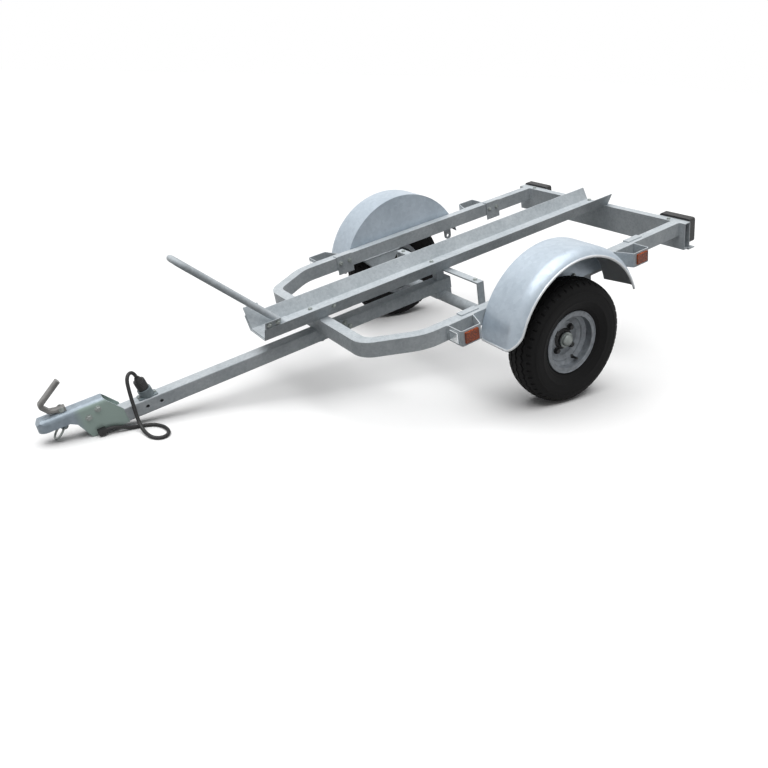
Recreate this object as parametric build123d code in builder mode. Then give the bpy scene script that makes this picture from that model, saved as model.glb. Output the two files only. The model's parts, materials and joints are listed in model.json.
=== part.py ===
from build123d import *
import os
from math import asin, atan2, cos, degrees, hypot, radians, sin, tan

# Single motorcycle trailer, galvanised, parked nose down on its ball coupling.
# Everything is drawn level first, in a chassis frame: X forward from the wheel
# axis, Y to the left, Z up from the road. At the end the whole trailer is tipped
# about the wheel axis until the coupling touches the ground. Millimetres.

# Wheels
tyre_diameter = 465
tyre_width = 128
tyre_clearance = 34.5
rim_bead_diameter = 206
rim_flange_diameter = 238
rim_inner_width = 76
rim_sheet = 3
disc_offset = -8
disc_dish = 18
disc_flat_margin = 4
tyre_fit = 0.3
tyre_bead_rise = 2
tyre_shoulder_inset = 9
tyre_shoulder_drop = 13
bolt_circle = 100
wheel_bolts = 4
wheel_bolt_hole = 14
wheel_bolt_angle = 45
hub_bore_hole = 58

# Axle with trailing arms
axle_diameter = 44
axle_wall = 4
axle_lead = 133
axle_gap = 2
saddle_margin = 15
axle_bracket_top = 190
axle_bracket_margin = 9
arm_clearance = 0.5
arm_thickness = 18
arm_end_diameter = 62
arm_eye_diameter = 52
spindle_diameter = 25
spindle_past_middle = 4
running_fit = 0.1
hub_flange_diameter = 124
hub_barrel_diameter = 62
hub_barrel_inboard = 62
hub_flange_thickness = 8
hub_nose = 16
cap_lip = 6
cap_skirt = 14
cap_dome = 12

# Drawbar and frame tubes
drawbar_size = 50
drawbar_wall = 4
drawbar_bottom = 320
drawbar_front = 1540
drawbar_tail = 40
lashing_hole = 12
lashing_hole_places = (1314, 1362)
frame_tube_height = 56
frame_tube_width = 40
frame_tube_wall = 3
frame_front = 715
frame_half_width = 461.5
front_corner = 334
shoulder = 520
front_bend = 70
shoulder_bend = 150

# Rear crossmember and lamps
crossmember_front = -755
crossmember_depth = 30
crossmember_height = 112
crossmember_overhang = 28.5
sheet = 4
lamp_width = 150
lamp_height = 102
lamp_depth = 33
lamp_corner = 10
lamp_inset = 2
lamp_rise = 9
lens_border = 6
lens_depth = 9
lens_stand = 2
lens_corner = 6
lens_fit = 0.3
lens_chamfer = 2
carrier_width = 160
carrier_drop = 8

# Motorcycle rail
rail_front = 929
rail_seat = 24
rail_floor_width = 124
rail_wall_height = 51
rail_flare = 25.5
rail_sheet = 3

# Front wheel hoop and its foot
hoop_bar = 22
hoop_width = 110
hoop_top_flat = 5
hoop_foot = 820
hoop_top = 1152
hoop_top_height = 797
ear_length = 58
ear_rise = 27
ear_setback = 4
seat_margin = 3

# Bridge that carries the rail over the axle
bridge_strip_width = 30
bridge_strip = 6
bridge_half_width = 271
bridge_post_size = 36
bridge_post_corner = 5

# Mudguards: the arch's middle lies above and behind the wheel axis
guard_radius = 316
guard_rise = 37.5
guard_setback = 8
guard_margin = 16
guard_gap = 2
guard_sheet = 3
guard_shoulder = 58
guard_shoulder_turn = 60
guard_front_angle = 9.5
guard_rear_angle = 11.5
guard_toe_round = 62
guard_toe_inner_round = 28
guard_heel_rise = 21
guard_apron_inset = 14
guard_pad_diameter = 28
guard_pad_places = (-150, 0, 150)

# Reflector brackets: a bent strip on the outside of each side tube
bracket_reach = 76
bracket_length = 84
bracket_taper = 29
bracket_strip = 4
bracket_bend = 8
front_bracket_gap = 15
rear_bracket_gap = 47
reflector_depth = 6
front_reflector_size = (46, 40)
side_reflector_size = (58, 42)
reflector_corner = 4
reflector_chamfer = 1.5

# Clamp plates inside the side tubes, at the front brackets' rear ends and behind the rear brackets
rear_clamp_gap = 28
clamp_length = 76
clamp_drop = 22
clamp_lip = 24

# Lashing lugs under the side tubes
lug_place = -247
lug_length = 34
lug_drop = 34
lug_plate = 8
lug_eye = 16

# Coupling
coupling_top = 434
coupling_wall = 4
coupling_round = 18
coupling_toe = 1552
toe_slope = (29, 61)
coupling_heel = 1432
heel_slope = (5, 54)
heel_cover = 4
coupling_head_bottom = 393
coupling_nose = 1692
nose_chamfer = 15
nose_flat = 2
throat = 8
ball_place = 1648
ball_diameter = 50
ball_depth = 12
socket_wall = 14
side_fit = 0.3
lever_width = 26
lever_thickness = 14
lever_edge = 5
lever_root = (26, 14, 40)
ring_diameter = 54
ring_bar = 7
ring_lean = 40
ring_play = 0.3
ring_lug = 6
ring_lug_width = 22
ring_lug_reach = 10

# Plug, its parking holder and the lead
plug_diameter = 36
plug_length = 58
plug_neck = 12
plug_neck_step = 4
plug_neck_taper = 24
plug_edge = 2
plug_foot = 1349
plug_lean = 11.4
holder_wall = 5
holder_cup_height = 22
holder_floor = 8
holder_base = (64, 40, 4)
holder_corner = 6
gland_length = 26
gland_height = 20
gland_reach = 17.4
gland_rise = 1
gland_corner = 3
gland_setback = 17
lead_diameter = 12
lead_straight = 18
lead_arch = 21.5
fillet_share = 0.45

# Worked-out places in the level chassis frame
wheel_radius = tyre_diameter / 2
wheel_plane = frame_half_width + tyre_clearance + tyre_width / 2
wheel_axis = Axis((0, 0, wheel_radius), (0, 1, 0))
axle_height = drawbar_bottom - axle_diameter / 2 - axle_gap
frame_bottom = drawbar_bottom + drawbar_size
frame_top = frame_bottom + frame_tube_height
frame_middle = frame_bottom + frame_tube_height / 2
side_line = frame_half_width - frame_tube_width / 2
axle_length = 2 * (frame_half_width + arm_clearance)
crossmember_half_width = frame_half_width + crossmember_overhang
rail_rear = crossmember_front - rail_seat
rail_half_floor = rail_floor_width / 2
guard_inner = frame_half_width + guard_gap
guard_outer = wheel_plane + tyre_width / 2 + guard_margin
arch_height = wheel_radius + guard_rise
front_bracket = guard_radius - guard_setback + front_bracket_gap + bracket_taper + bracket_length
rear_bracket = -guard_radius - guard_setback - rear_bracket_gap - bracket_taper - bracket_length
crossmember_back = crossmember_front - crossmember_depth

# Parked pitch: the coupling's toe comes down to the ground about the wheel axis
toe_rise = drawbar_bottom - wheel_radius
park_pitch = asin(wheel_radius / hypot(coupling_toe, toe_rise)) + atan2(toe_rise, coupling_toe)

pieces = {}


def keep(name, part):
    """Store one piece of the trailer's middle."""
    pieces[name] = part


def keep_both(name, part):
    """Store a left-hand piece and its mirror image on the right as two pieces."""
    pieces[f"{name}_left"] = part
    with BuildPart() as right:
        mirror(part, about=Plane.XZ)
    pieces[f"{name}_right"] = right.part


def keep_pair(name, part):
    """Store small like parts of the left side and their mirror images as one piece."""
    with BuildPart() as pair:
        add(part)
        mirror(part, about=Plane.XZ)
    pieces[name] = pair.part


def along_y(y):
    """Upright lengthwise plane at a distance to the left, drawn in X and Z."""
    return Plane.XZ.offset(-y)


def across_x(x, z):
    """Upright crosswise plane at a place along the trailer, drawn in Y and Z from height z."""
    return Plane((x, 0, z), x_dir=(0, 1, 0), z_dir=(1, 0, 0))


# Drawbar: one square tube from the coupling to just behind the axle
drawbar_rear = axle_lead - drawbar_tail
with BuildPart() as drawbar:
    with BuildSketch(Plane.YZ.offset(drawbar_rear)):
        with Locations((0, drawbar_bottom + drawbar_size / 2)):
            RectangleRounded(drawbar_size, drawbar_size, drawbar_wall)
            Rectangle(drawbar_size - 2 * drawbar_wall, drawbar_size - 2 * drawbar_wall, mode=Mode.SUBTRACT)
    extrude(amount=drawbar_front - drawbar_rear)
    with BuildSketch(Plane.XZ):
        with Locations(*[(x, drawbar_bottom + drawbar_size / 2) for x in lashing_hole_places]):
            Circle(lashing_hole / 2)
    extrude(amount=drawbar_size, both=True, mode=Mode.SUBTRACT)
keep("drawbar", drawbar.part)

# Frame: two bent tubes that meet over the drawbar and run back to the crossmember
frame_center_front = frame_front - frame_tube_width / 2
with BuildPart() as frame_tube:
    with BuildLine() as frame_path:
        FilletPolyline(
            (frame_center_front, 0, frame_middle),
            (frame_center_front, front_corner, frame_middle),
            (shoulder, side_line, frame_middle),
            (crossmember_front, side_line, frame_middle),
            radius=(front_bend, shoulder_bend),
        )
    with BuildSketch(Plane(frame_path.line @ 0, x_dir=(1, 0, 0), z_dir=(0, 1, 0))):
        Rectangle(frame_tube_width, frame_tube_height)
        Rectangle(
            frame_tube_width - 2 * frame_tube_wall,
            frame_tube_height - 2 * frame_tube_wall,
            mode=Mode.SUBTRACT,
        )
    sweep()
keep_both("frame_tube", frame_tube.part)

# Rear crossmember: a folded channel, open to the rear
crossmember_bottom = frame_top - crossmember_height
with BuildPart() as rear_crossmember:
    with BuildSketch(along_y(0)):
        with Locations((crossmember_front - crossmember_depth / 2, frame_top - crossmember_height / 2)):
            Rectangle(crossmember_depth, crossmember_height)
        with Locations((crossmember_front - sheet - crossmember_depth / 2, frame_top - crossmember_height / 2)):
            Rectangle(crossmember_depth, crossmember_height - 2 * sheet, mode=Mode.SUBTRACT)
    extrude(amount=crossmember_half_width, both=True)
keep("rear_crossmember", rear_crossmember.part)

# Lamp carriers: plates across the channel's ends with a lip under the lamp
carrier_bottom = crossmember_bottom - carrier_drop
carrier_height = frame_top - carrier_bottom
with BuildPart() as lamp_carrier:
    with BuildSketch(along_y(crossmember_half_width)):
        with Locations((crossmember_back - sheet / 2, carrier_bottom + carrier_height / 2)):
            Rectangle(sheet, carrier_height)
        with Locations((crossmember_back - (sheet + lamp_depth) / 2, carrier_bottom + sheet / 2)):
            Rectangle(sheet + lamp_depth, sheet)
    extrude(amount=carrier_width)
keep_pair("lamp_carriers", lamp_carrier.part)

# Rear lamps: a dark housing with a lens set in its back
lamp_front = crossmember_back - sheet
lamp_center_y = crossmember_half_width - lamp_width / 2 - lamp_inset
lamp_center_z = frame_top + lamp_rise - lamp_height / 2
lens_plane = Plane((lamp_front - lamp_depth, lamp_center_y, lamp_center_z), x_dir=(0, 1, 0), z_dir=(1, 0, 0))
lens_size = (lamp_width - 2 * lens_border, lamp_height - 2 * lens_border)
with BuildPart() as rear_lamp:
    with BuildSketch(lens_plane):
        RectangleRounded(lamp_width, lamp_height, lamp_corner)
    extrude(amount=lamp_depth)
    with BuildSketch(lens_plane):
        RectangleRounded(lens_size[0], lens_size[1], lens_corner)
    extrude(amount=lens_depth, mode=Mode.SUBTRACT)
keep_pair("rear_lamps", rear_lamp.part)

with BuildPart() as rear_lens:
    with BuildSketch(lens_plane.offset(-lens_stand)):
        RectangleRounded(lens_size[0] - 2 * lens_fit, lens_size[1] - 2 * lens_fit, lens_corner)
    extrude(amount=lens_depth + lens_stand)
    chamfer(rear_lens.faces().sort_by(Axis.X)[0].edges(), lens_chamfer)
keep_pair("rear_lenses", rear_lens.part)

# Motorcycle rail: a flared channel on the front tube, the bridge and the crossmember
flare_slope = rail_flare / rail_wall_height
rail_wall_across = rail_sheet / cos(atan2(rail_flare, rail_wall_height))


def channel_half(height, sheet_across, floor_sheet, shrink):
    """Right-hand points of a flared channel section, from the floor's middle out."""
    foot = rail_half_floor - shrink
    return [
        (0, 0),
        (foot, 0),
        (foot + flare_slope * height, height),
        (foot + flare_slope * height - sheet_across, height),
        (foot + flare_slope * floor_sheet - sheet_across, floor_sheet),
        (0, floor_sheet),
    ]


with BuildPart() as rail:
    with BuildSketch(across_x(rail_rear, frame_top)):
        with BuildLine():
            Polyline(*channel_half(rail_wall_height, rail_wall_across, rail_sheet, 0), close=True)
        make_face()
        mirror(about=Plane.YZ)
    extrude(amount=rail_front - rail_rear)
keep("rail", rail.part)

# Hoop foot: a short liner in the rail's front end whose ears stand above its walls
liner_floor = frame_top + rail_sheet
liner_shrink = rail_wall_across - flare_slope * rail_sheet + side_fit
ear_front = rail_front - ear_setback
hoop_seat_length = ear_front - hoop_foot + ear_length / 2
ear_height = rail_wall_height - rail_sheet + ear_rise
with BuildPart() as hoop_bracket:
    with BuildSketch(across_x(ear_front - ear_length, liner_floor)):
        with BuildLine():
            Polyline(*channel_half(ear_height, rail_wall_across, rail_sheet, liner_shrink), close=True)
        make_face()
        mirror(about=Plane.YZ)
    extrude(amount=ear_length)
    with BuildSketch(Plane.XY.offset(liner_floor)):
        with Locations((ear_front - hoop_seat_length / 2, 0)):
            Rectangle(hoop_seat_length, 2 * (rail_half_floor - liner_shrink - seat_margin))
    extrude(amount=rail_sheet)
keep("hoop_bracket", hoop_bracket.part)

# Front wheel hoop: a bent bar standing on the foot and leaning forward
hoop_floor = liner_floor + rail_sheet
hoop_run = hoop_top - hoop_foot
hoop_rise = hoop_top_height - hoop_floor
hoop_length = hypot(hoop_run, hoop_rise)
hoop_lean = atan2(hoop_run, hoop_rise)
hoop_plane = Plane(
    (hoop_foot, 0, hoop_floor),
    x_dir=(0, 1, 0),
    z_dir=(cos(hoop_lean), 0, -sin(hoop_lean)),
)
hoop_half = (hoop_width - hoop_bar) / 2
foot_cut = hoop_bar * tan(hoop_lean)
with BuildPart() as wheel_hoop:
    with BuildLine(hoop_plane) as hoop_path:
        FilletPolyline(
            (-hoop_half, -foot_cut),
            (-hoop_half, hoop_length - hoop_bar / 2),
            (hoop_half, hoop_length - hoop_bar / 2),
            (hoop_half, -foot_cut),
            radius=hoop_half - hoop_top_flat,
        )
    with BuildSketch(Plane(hoop_path.line @ 0, z_dir=hoop_path.line % 0)):
        Circle(hoop_bar / 2)
    sweep()
    split(bisect_by=Plane.XY.offset(hoop_floor), keep=Keep.TOP)
keep("wheel_hoop", wheel_hoop.part)

# Axle tube, its saddle under the drawbar and the brackets up to the side tubes
axle_plane_point = (axle_lead, axle_height)
with BuildPart() as axle_seat:
    with BuildSketch(Plane.XZ):
        with Locations(axle_plane_point):
            Circle(axle_diameter / 2 + running_fit)
    extrude(amount=axle_length, both=True)

with BuildPart() as axle_tube:
    with BuildSketch(Plane.XZ):
        with Locations(axle_plane_point):
            Circle(axle_diameter / 2)
            Circle(axle_diameter / 2 - axle_wall, mode=Mode.SUBTRACT)
    extrude(amount=axle_length / 2, both=True)
keep("axle_tube", axle_tube.part)

saddle_length = axle_diameter + 2 * saddle_margin
with BuildPart() as axle_saddle:
    with BuildSketch(Plane.XZ):
        with Locations((axle_lead, (axle_height + drawbar_bottom) / 2)):
            Rectangle(saddle_length, drawbar_bottom - axle_height)
    extrude(amount=drawbar_size / 2, both=True)
    add(axle_seat.part, mode=Mode.SUBTRACT)
keep("axle_saddle", axle_saddle.part)

axle_bracket_foot = axle_diameter + 2 * axle_bracket_margin
with BuildPart() as axle_bracket:
    with BuildSketch(along_y(side_line)):
        with BuildLine():
            Polyline(
                (axle_lead - axle_bracket_top / 2, frame_bottom),
                (axle_lead - axle_bracket_foot / 2, axle_height),
                (axle_lead + axle_bracket_foot / 2, axle_height),
                (axle_lead + axle_bracket_top / 2, frame_bottom),
                close=True,
            )
        make_face()
    extrude(amount=frame_tube_width / 2, both=True)
    with BuildSketch(along_y(side_line)):
        with Locations((axle_lead, axle_height)):
            Rectangle(axle_bracket_top, 2 * (frame_bottom - axle_height - sheet))
    extrude(amount=frame_tube_width / 2 - sheet, both=True, mode=Mode.SUBTRACT)
    add(axle_seat.part, mode=Mode.SUBTRACT)
keep_pair("axle_brackets", axle_bracket.part)

# Trailing arms: a bar from the axle's end back to the wheel spindle
arm_inner = axle_length / 2
arm_face = arm_inner + arm_thickness
spindle_end = wheel_plane + spindle_past_middle
with BuildPart() as axle_arm:
    with BuildSketch(along_y(arm_inner)):
        with Locations((0, wheel_radius)):
            Circle(arm_eye_diameter / 2)
        with Locations(axle_plane_point):
            Circle(arm_end_diameter / 2)
        make_hull()
    extrude(amount=-arm_thickness)
    with BuildSketch(along_y(arm_face)):
        with Locations((0, wheel_radius)):
            Circle(spindle_diameter / 2)
    extrude(amount=arm_face - spindle_end)
keep_both("axle_arm", axle_arm.part)

# Bridge: a strip bent over the axle, with a post under its middle
bridge_bottom = frame_top - bridge_strip
with BuildPart() as rail_bridge:
    with BuildSketch(Plane.YZ.offset(axle_lead)):
        with Locations((0, (frame_top + axle_height) / 2)):
            Rectangle(2 * bridge_half_width, frame_top - axle_height)
        with Locations((0, (bridge_bottom + axle_height) / 2)):
            Rectangle(2 * (bridge_half_width - bridge_strip), bridge_bottom - axle_height, mode=Mode.SUBTRACT)
    extrude(amount=bridge_strip_width / 2, both=True)
    add(axle_seat.part, mode=Mode.SUBTRACT)
keep("rail_bridge", rail_bridge.part)

with BuildPart() as bridge_post:
    with BuildSketch(Plane.XY.offset(frame_bottom)):
        with Locations((axle_lead, 0)):
            RectangleRounded(bridge_post_size, bridge_post_size, bridge_post_corner)
            Rectangle(bridge_post_size - 2 * sheet, bridge_post_size - 2 * sheet, mode=Mode.SUBTRACT)
    extrude(amount=bridge_bottom - frame_bottom)
keep("bridge_post", bridge_post.part)

# Wheels: every section is drawn in Y and Z above the wheel axis and turned round it
bead = rim_bead_diameter / 2
flange = rim_flange_diameter / 2
half_rim = rim_inner_width / 2
half_tyre = tyre_width / 2


def wheel_point(y, radius):
    """Section point at a distance from the wheel's middle plane and axis."""
    return (wheel_plane + y, wheel_radius + radius)


inner_y = half_rim - tyre_fit
bead_top = flange + tyre_bead_rise
shoulder_y = half_tyre - tyre_shoulder_inset
shoulder_radius = wheel_radius - tyre_shoulder_drop
flank_radius = (flange + shoulder_radius) / 2
with BuildPart() as tyre:
    with BuildSketch(Plane.YZ):
        with BuildLine():
            Polyline(
                wheel_point(-inner_y, bead_top),
                wheel_point(-inner_y, bead + tyre_fit),
                wheel_point(inner_y, bead + tyre_fit),
                wheel_point(inner_y, bead_top),
            )
            for side in (-1, 1):
                ThreePointArc(
                    wheel_point(side * inner_y, bead_top),
                    wheel_point(side * half_tyre, flank_radius),
                    wheel_point(side * shoulder_y, shoulder_radius),
                )
            ThreePointArc(
                wheel_point(-shoulder_y, shoulder_radius),
                wheel_point(0, wheel_radius),
                wheel_point(shoulder_y, shoulder_radius),
            )
        make_face()
    revolve(axis=wheel_axis)
keep_both("tyre", tyre.part)

# Rim: a rolled band with flanges and a dished disc welded inside it
outer_lip = half_rim + rim_sheet
band_inner = bead - rim_sheet
disc_edge = disc_offset + disc_dish
disc_flat = hub_flange_diameter / 2 + disc_flat_margin
hub_hole = hub_bore_hole / 2
with BuildPart() as rim:
    with BuildSketch(Plane.YZ):
        with BuildLine():
            Polyline(
                wheel_point(-outer_lip, flange),
                wheel_point(-half_rim, flange),
                wheel_point(-half_rim, bead),
                wheel_point(half_rim, bead),
                wheel_point(half_rim, flange),
                wheel_point(outer_lip, flange),
                wheel_point(outer_lip, band_inner),
                wheel_point(disc_edge + rim_sheet, band_inner),
                wheel_point(disc_offset + rim_sheet, disc_flat),
                wheel_point(disc_offset + rim_sheet, hub_hole),
                wheel_point(disc_offset, hub_hole),
                wheel_point(disc_offset, disc_flat + rim_sheet),
                wheel_point(disc_edge, band_inner),
                wheel_point(-outer_lip, band_inner),
                close=True,
            )
        make_face()
    revolve(axis=wheel_axis)
    with BuildSketch(along_y(wheel_plane)):
        with Locations((0, wheel_radius)):
            with PolarLocations(bolt_circle / 2, wheel_bolts, start_angle=wheel_bolt_angle):
                Circle(wheel_bolt_hole / 2)
    extrude(amount=half_tyre, both=True, mode=Mode.SUBTRACT)
keep_both("rim", rim.part)

# Hub: flange behind the disc, barrel on the spindle
hub_face = disc_offset
hub_back = hub_face - hub_flange_thickness
spindle_bore = spindle_diameter / 2 + running_fit
with BuildPart() as hub:
    with BuildSketch(Plane.YZ):
        with BuildLine():
            Polyline(
                wheel_point(-hub_barrel_inboard, spindle_bore),
                wheel_point(-hub_barrel_inboard, hub_barrel_diameter / 2),
                wheel_point(hub_back, hub_barrel_diameter / 2),
                wheel_point(hub_back, hub_flange_diameter / 2),
                wheel_point(hub_face, hub_flange_diameter / 2),
                wheel_point(hub_face, hub_hole - running_fit),
                wheel_point(hub_face + hub_nose, hub_hole - running_fit),
                wheel_point(hub_face + hub_nose, spindle_bore),
                close=True,
            )
        make_face()
    revolve(axis=wheel_axis)
keep_both("hub", hub.part)

# Grease cap pressed over the hub's nose
cap_back = hub_face + hub_nose
cap_rim = hub_hole - running_fit
cap_mouth = cap_rim - cap_lip
cap_wall_end = cap_back + cap_skirt
cap_dome_radius = (cap_mouth**2 + cap_dome**2) / (2 * cap_dome)
cap_mid_angle = asin(cap_mouth / cap_dome_radius) / 2
cap_middle = (
    cap_wall_end + cap_dome - cap_dome_radius * (1 - cos(cap_mid_angle)),
    cap_dome_radius * sin(cap_mid_angle),
)
with BuildPart() as hub_cap:
    with BuildSketch(Plane.YZ):
        with BuildLine():
            Polyline(
                wheel_point(cap_back, 0),
                wheel_point(cap_back, cap_rim),
                wheel_point(cap_back + cap_lip, cap_rim),
                wheel_point(cap_back + cap_lip, cap_mouth),
                wheel_point(cap_wall_end, cap_mouth),
            )
            ThreePointArc(
                wheel_point(cap_wall_end, cap_mouth),
                wheel_point(*cap_middle),
                wheel_point(cap_wall_end + cap_dome, 0),
            )
            Line(wheel_point(cap_wall_end + cap_dome, 0), wheel_point(cap_back, 0))
        make_face()
    revolve(axis=wheel_axis)
keep_both("hub_cap", hub_cap.part)

# Mudguards: a flat crown with a round shoulder, turned round the arch's own axis
guard_start = Plane(
    (-guard_setback, 0, arch_height),
    x_dir=(0, 1, 0),
    z_dir=(sin(radians(guard_front_angle)), 0, -cos(radians(guard_front_angle))),
)
lip_lean = 90 - guard_shoulder_turn
guard_crown = guard_outer - guard_shoulder * cos(radians(lip_lean))
shoulder_center = guard_radius - guard_shoulder
lip_radius = shoulder_center + guard_shoulder * sin(radians(lip_lean))
guard_foot = arch_height + lip_radius * sin(radians(guard_front_angle))
guard_heel = arch_height + guard_radius * sin(radians(guard_rear_angle))
apron_bottom = frame_bottom + guard_apron_inset
# Corners of the front end: edge, way inward, rounding
guard_toe_corners = ((guard_outer, -1, guard_toe_round), (guard_inner, 1, guard_toe_inner_round))
with BuildPart() as mudguard:
    with BuildSketch(guard_start):
        with BuildLine():
            outer_shoulder = CenterArc(
                (guard_crown, shoulder_center), guard_shoulder, lip_lean, guard_shoulder_turn
            )
            inner_shoulder = CenterArc(
                (guard_crown, shoulder_center), guard_shoulder - guard_sheet, lip_lean, guard_shoulder_turn
            )
            Line(outer_shoulder @ 0, inner_shoulder @ 0)
            Polyline(
                outer_shoulder @ 1,
                (guard_inner, guard_radius),
                (guard_inner, guard_radius - guard_sheet),
                inner_shoulder @ 1,
            )
        make_face()
    revolve(
        axis=Axis((-guard_setback, 0, arch_height), (0, -1, 0)),
        revolution_arc=180 - guard_front_angle - guard_rear_angle,
    )
    with BuildSketch(along_y(guard_inner)):
        with Locations((-guard_setback, arch_height)):
            Circle(guard_radius - guard_sheet / 2)
        with Locations((-guard_setback, apron_bottom - guard_radius)):
            Rectangle(3 * guard_radius, 2 * guard_radius, mode=Mode.SUBTRACT)
    extrude(amount=-guard_sheet)
    # The front end's corners are rounded off, the outer one most
    with BuildSketch(across_x(0, guard_foot)):
        for edge, inward, corner in guard_toe_corners:
            with Locations((edge + inward * corner / 2, corner / 2)):
                Rectangle(corner + guard_sheet, corner + guard_sheet)
            with Locations((edge + inward * corner, corner)):
                Circle(corner, mode=Mode.SUBTRACT)
    extrude(amount=guard_radius, mode=Mode.SUBTRACT)
    # The rear end is cut straight, rising from the tube to the lip
    with BuildSketch(across_x(0, guard_heel)):
        with BuildLine():
            Polyline(
                (guard_inner - guard_sheet, 0),
                (guard_outer + guard_sheet, guard_heel_rise),
                (guard_outer + guard_sheet, -guard_shoulder),
                (guard_inner - guard_sheet, -guard_shoulder),
                close=True,
            )
        make_face()
    extrude(amount=-guard_radius - guard_setback, mode=Mode.SUBTRACT)
keep_both("mudguard", mudguard.part)

# Mudguard pads: the flat washers that hold the apron off the side tube
with BuildPart() as guard_pad:
    with BuildSketch(along_y(frame_half_width)):
        with Locations(*[(x, (apron_bottom + frame_top) / 2) for x in guard_pad_places]):
            Circle(guard_pad_diameter / 2)
    extrude(amount=-guard_gap)
keep_pair("guard_pads", guard_pad.part)

# Reflector brackets: closed strips with one square and one slanted end
bracket_rows = [
    # name, square end, direction towards the slanted end
    ("front", front_bracket, -1),
    ("rear", rear_bracket, 1),
]
for name, square_end, way in bracket_rows:
    flat_end = square_end + way * bracket_length
    with BuildPart() as bracket:
        with BuildSketch(Plane.XY.offset(frame_bottom)) as bracket_outline:
            with BuildLine():
                Polyline(
                    (square_end, frame_half_width),
                    (square_end, frame_half_width + bracket_reach),
                    (flat_end, frame_half_width + bracket_reach),
                    (flat_end + way * bracket_taper, frame_half_width),
                    close=True,
                )
            make_face()
            fillet(bracket_outline.vertices().group_by(Axis.Y)[-1], bracket_bend)
            offset(amount=-bracket_strip, mode=Mode.SUBTRACT)
        extrude(amount=frame_tube_height)
    keep_pair(f"{name}_reflector_brackets", bracket.part)

    face_center = (square_end + way * bracket_length / 2, frame_middle)
    with BuildPart() as side_reflector:
        with BuildSketch(along_y(frame_half_width + bracket_reach)):
            with Locations(face_center):
                RectangleRounded(side_reflector_size[0], side_reflector_size[1], reflector_corner)
        extrude(amount=-reflector_depth)
        chamfer(side_reflector.faces().sort_by(Axis.Y)[-1].edges(), reflector_chamfer)
    keep_pair(f"{name}_side_reflectors", side_reflector.part)

with BuildPart() as front_reflector:
    with BuildSketch(Plane.YZ.offset(front_bracket)):
        with Locations((frame_half_width + bracket_reach / 2, frame_middle)):
            RectangleRounded(front_reflector_size[0], front_reflector_size[1], reflector_corner)
    extrude(amount=reflector_depth)
    chamfer(front_reflector.faces().sort_by(Axis.X)[-1].edges(), reflector_chamfer)
keep_pair("front_reflectors", front_reflector.part)

# Clamp plates: folded over the inner face of each side tube
clamp_places = (front_bracket - bracket_length - bracket_taper, rear_bracket - rear_clamp_gap)
tube_inner = side_line - frame_tube_width / 2
with BuildPart() as frame_clamp:
    for clamp_middle in clamp_places:
        with BuildSketch(across_x(clamp_middle, frame_bottom)):
            with BuildLine():
                Polyline(
                    (tube_inner, -clamp_drop),
                    (tube_inner, frame_tube_height),
                    (tube_inner + clamp_lip, frame_tube_height),
                    (tube_inner + clamp_lip, frame_tube_height + sheet),
                    (tube_inner - sheet, frame_tube_height + sheet),
                    (tube_inner - sheet, -clamp_drop),
                    close=True,
                )
            make_face()
        extrude(amount=clamp_length / 2, both=True)
keep_pair("frame_clamps", frame_clamp.part)

# Lashing lugs: eye plates under the side tubes
with BuildPart() as lashing_lug:
    with BuildSketch(along_y(side_line)):
        with Locations((lug_place, frame_bottom - lug_drop / 2)):
            Rectangle(lug_length, lug_drop)
        with Locations((lug_place, frame_bottom - lug_drop)):
            Circle(lug_length / 2)
            Circle(lug_eye / 2, mode=Mode.SUBTRACT)
    extrude(amount=lug_plate / 2, both=True)
keep_pair("lashing_lugs", lashing_lug.part)

# Coupling: a pressed cover that straddles the drawbar, with a ball socket in its head
coupling_inner = drawbar_size / 2 + side_fit
coupling_half = coupling_inner + coupling_wall
head_back = ball_place - ball_diameter / 2 - socket_wall
ball_height = coupling_head_bottom + ball_depth
lug_hole = (head_back + ring_lug_reach, coupling_head_bottom - ring_lug_reach)
with BuildPart() as coupling_body:
    with BuildSketch(Plane.XZ):
        with BuildLine():
            Polyline(
                (coupling_heel, drawbar_bottom),
                (coupling_toe, drawbar_bottom),
                (coupling_toe + toe_slope[0], drawbar_bottom + toe_slope[1]),
                (head_back - throat, coupling_head_bottom),
                (coupling_nose, coupling_head_bottom),
                (coupling_nose, coupling_top - nose_chamfer),
                (coupling_nose - nose_chamfer, coupling_top),
                (coupling_heel + heel_slope[1], coupling_top),
                (coupling_heel + heel_slope[0], frame_bottom + heel_cover),
                close=True,
            )
        make_face()
    extrude(amount=coupling_half, both=True)
    nose_edges = coupling_body.edges().filter_by(Axis.Z).group_by(Axis.X)[-1]
    fillet(nose_edges, coupling_half - nose_flat)
    with BuildSketch(Plane.YZ.offset(coupling_heel)) as outer_section:
        with Locations((0, (drawbar_bottom + coupling_top) / 2)):
            Rectangle(2 * coupling_half, coupling_top - drawbar_bottom)
        fillet(outer_section.vertices().group_by(Axis.Y)[-1], coupling_round)
    extrude(amount=coupling_nose - coupling_heel, mode=Mode.INTERSECT)
    with BuildSketch(Plane.YZ.offset(coupling_heel)) as inner_section:
        with Locations((0, (drawbar_bottom + coupling_top) / 2 - coupling_wall)):
            Rectangle(2 * coupling_inner, coupling_top - drawbar_bottom)
        fillet(inner_section.vertices().group_by(Axis.Y)[-1], coupling_round - coupling_wall)
    extrude(amount=head_back - coupling_heel, mode=Mode.SUBTRACT)
    with Locations((ball_place, 0, ball_height)):
        Sphere(ball_diameter / 2 + side_fit, mode=Mode.SUBTRACT)
    with BuildSketch(Plane.XZ):
        with Locations(lug_hole):
            Circle(ring_lug_width / 2)
            with Locations((0, ring_lug_reach / 2)):
                Rectangle(ring_lug_width, ring_lug_reach + ring_lug)
            Circle(ring_bar / 2 + ring_play, mode=Mode.SUBTRACT)
    extrude(amount=ring_lug / 2, both=True)
keep("coupling_body", coupling_body.part)

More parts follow.
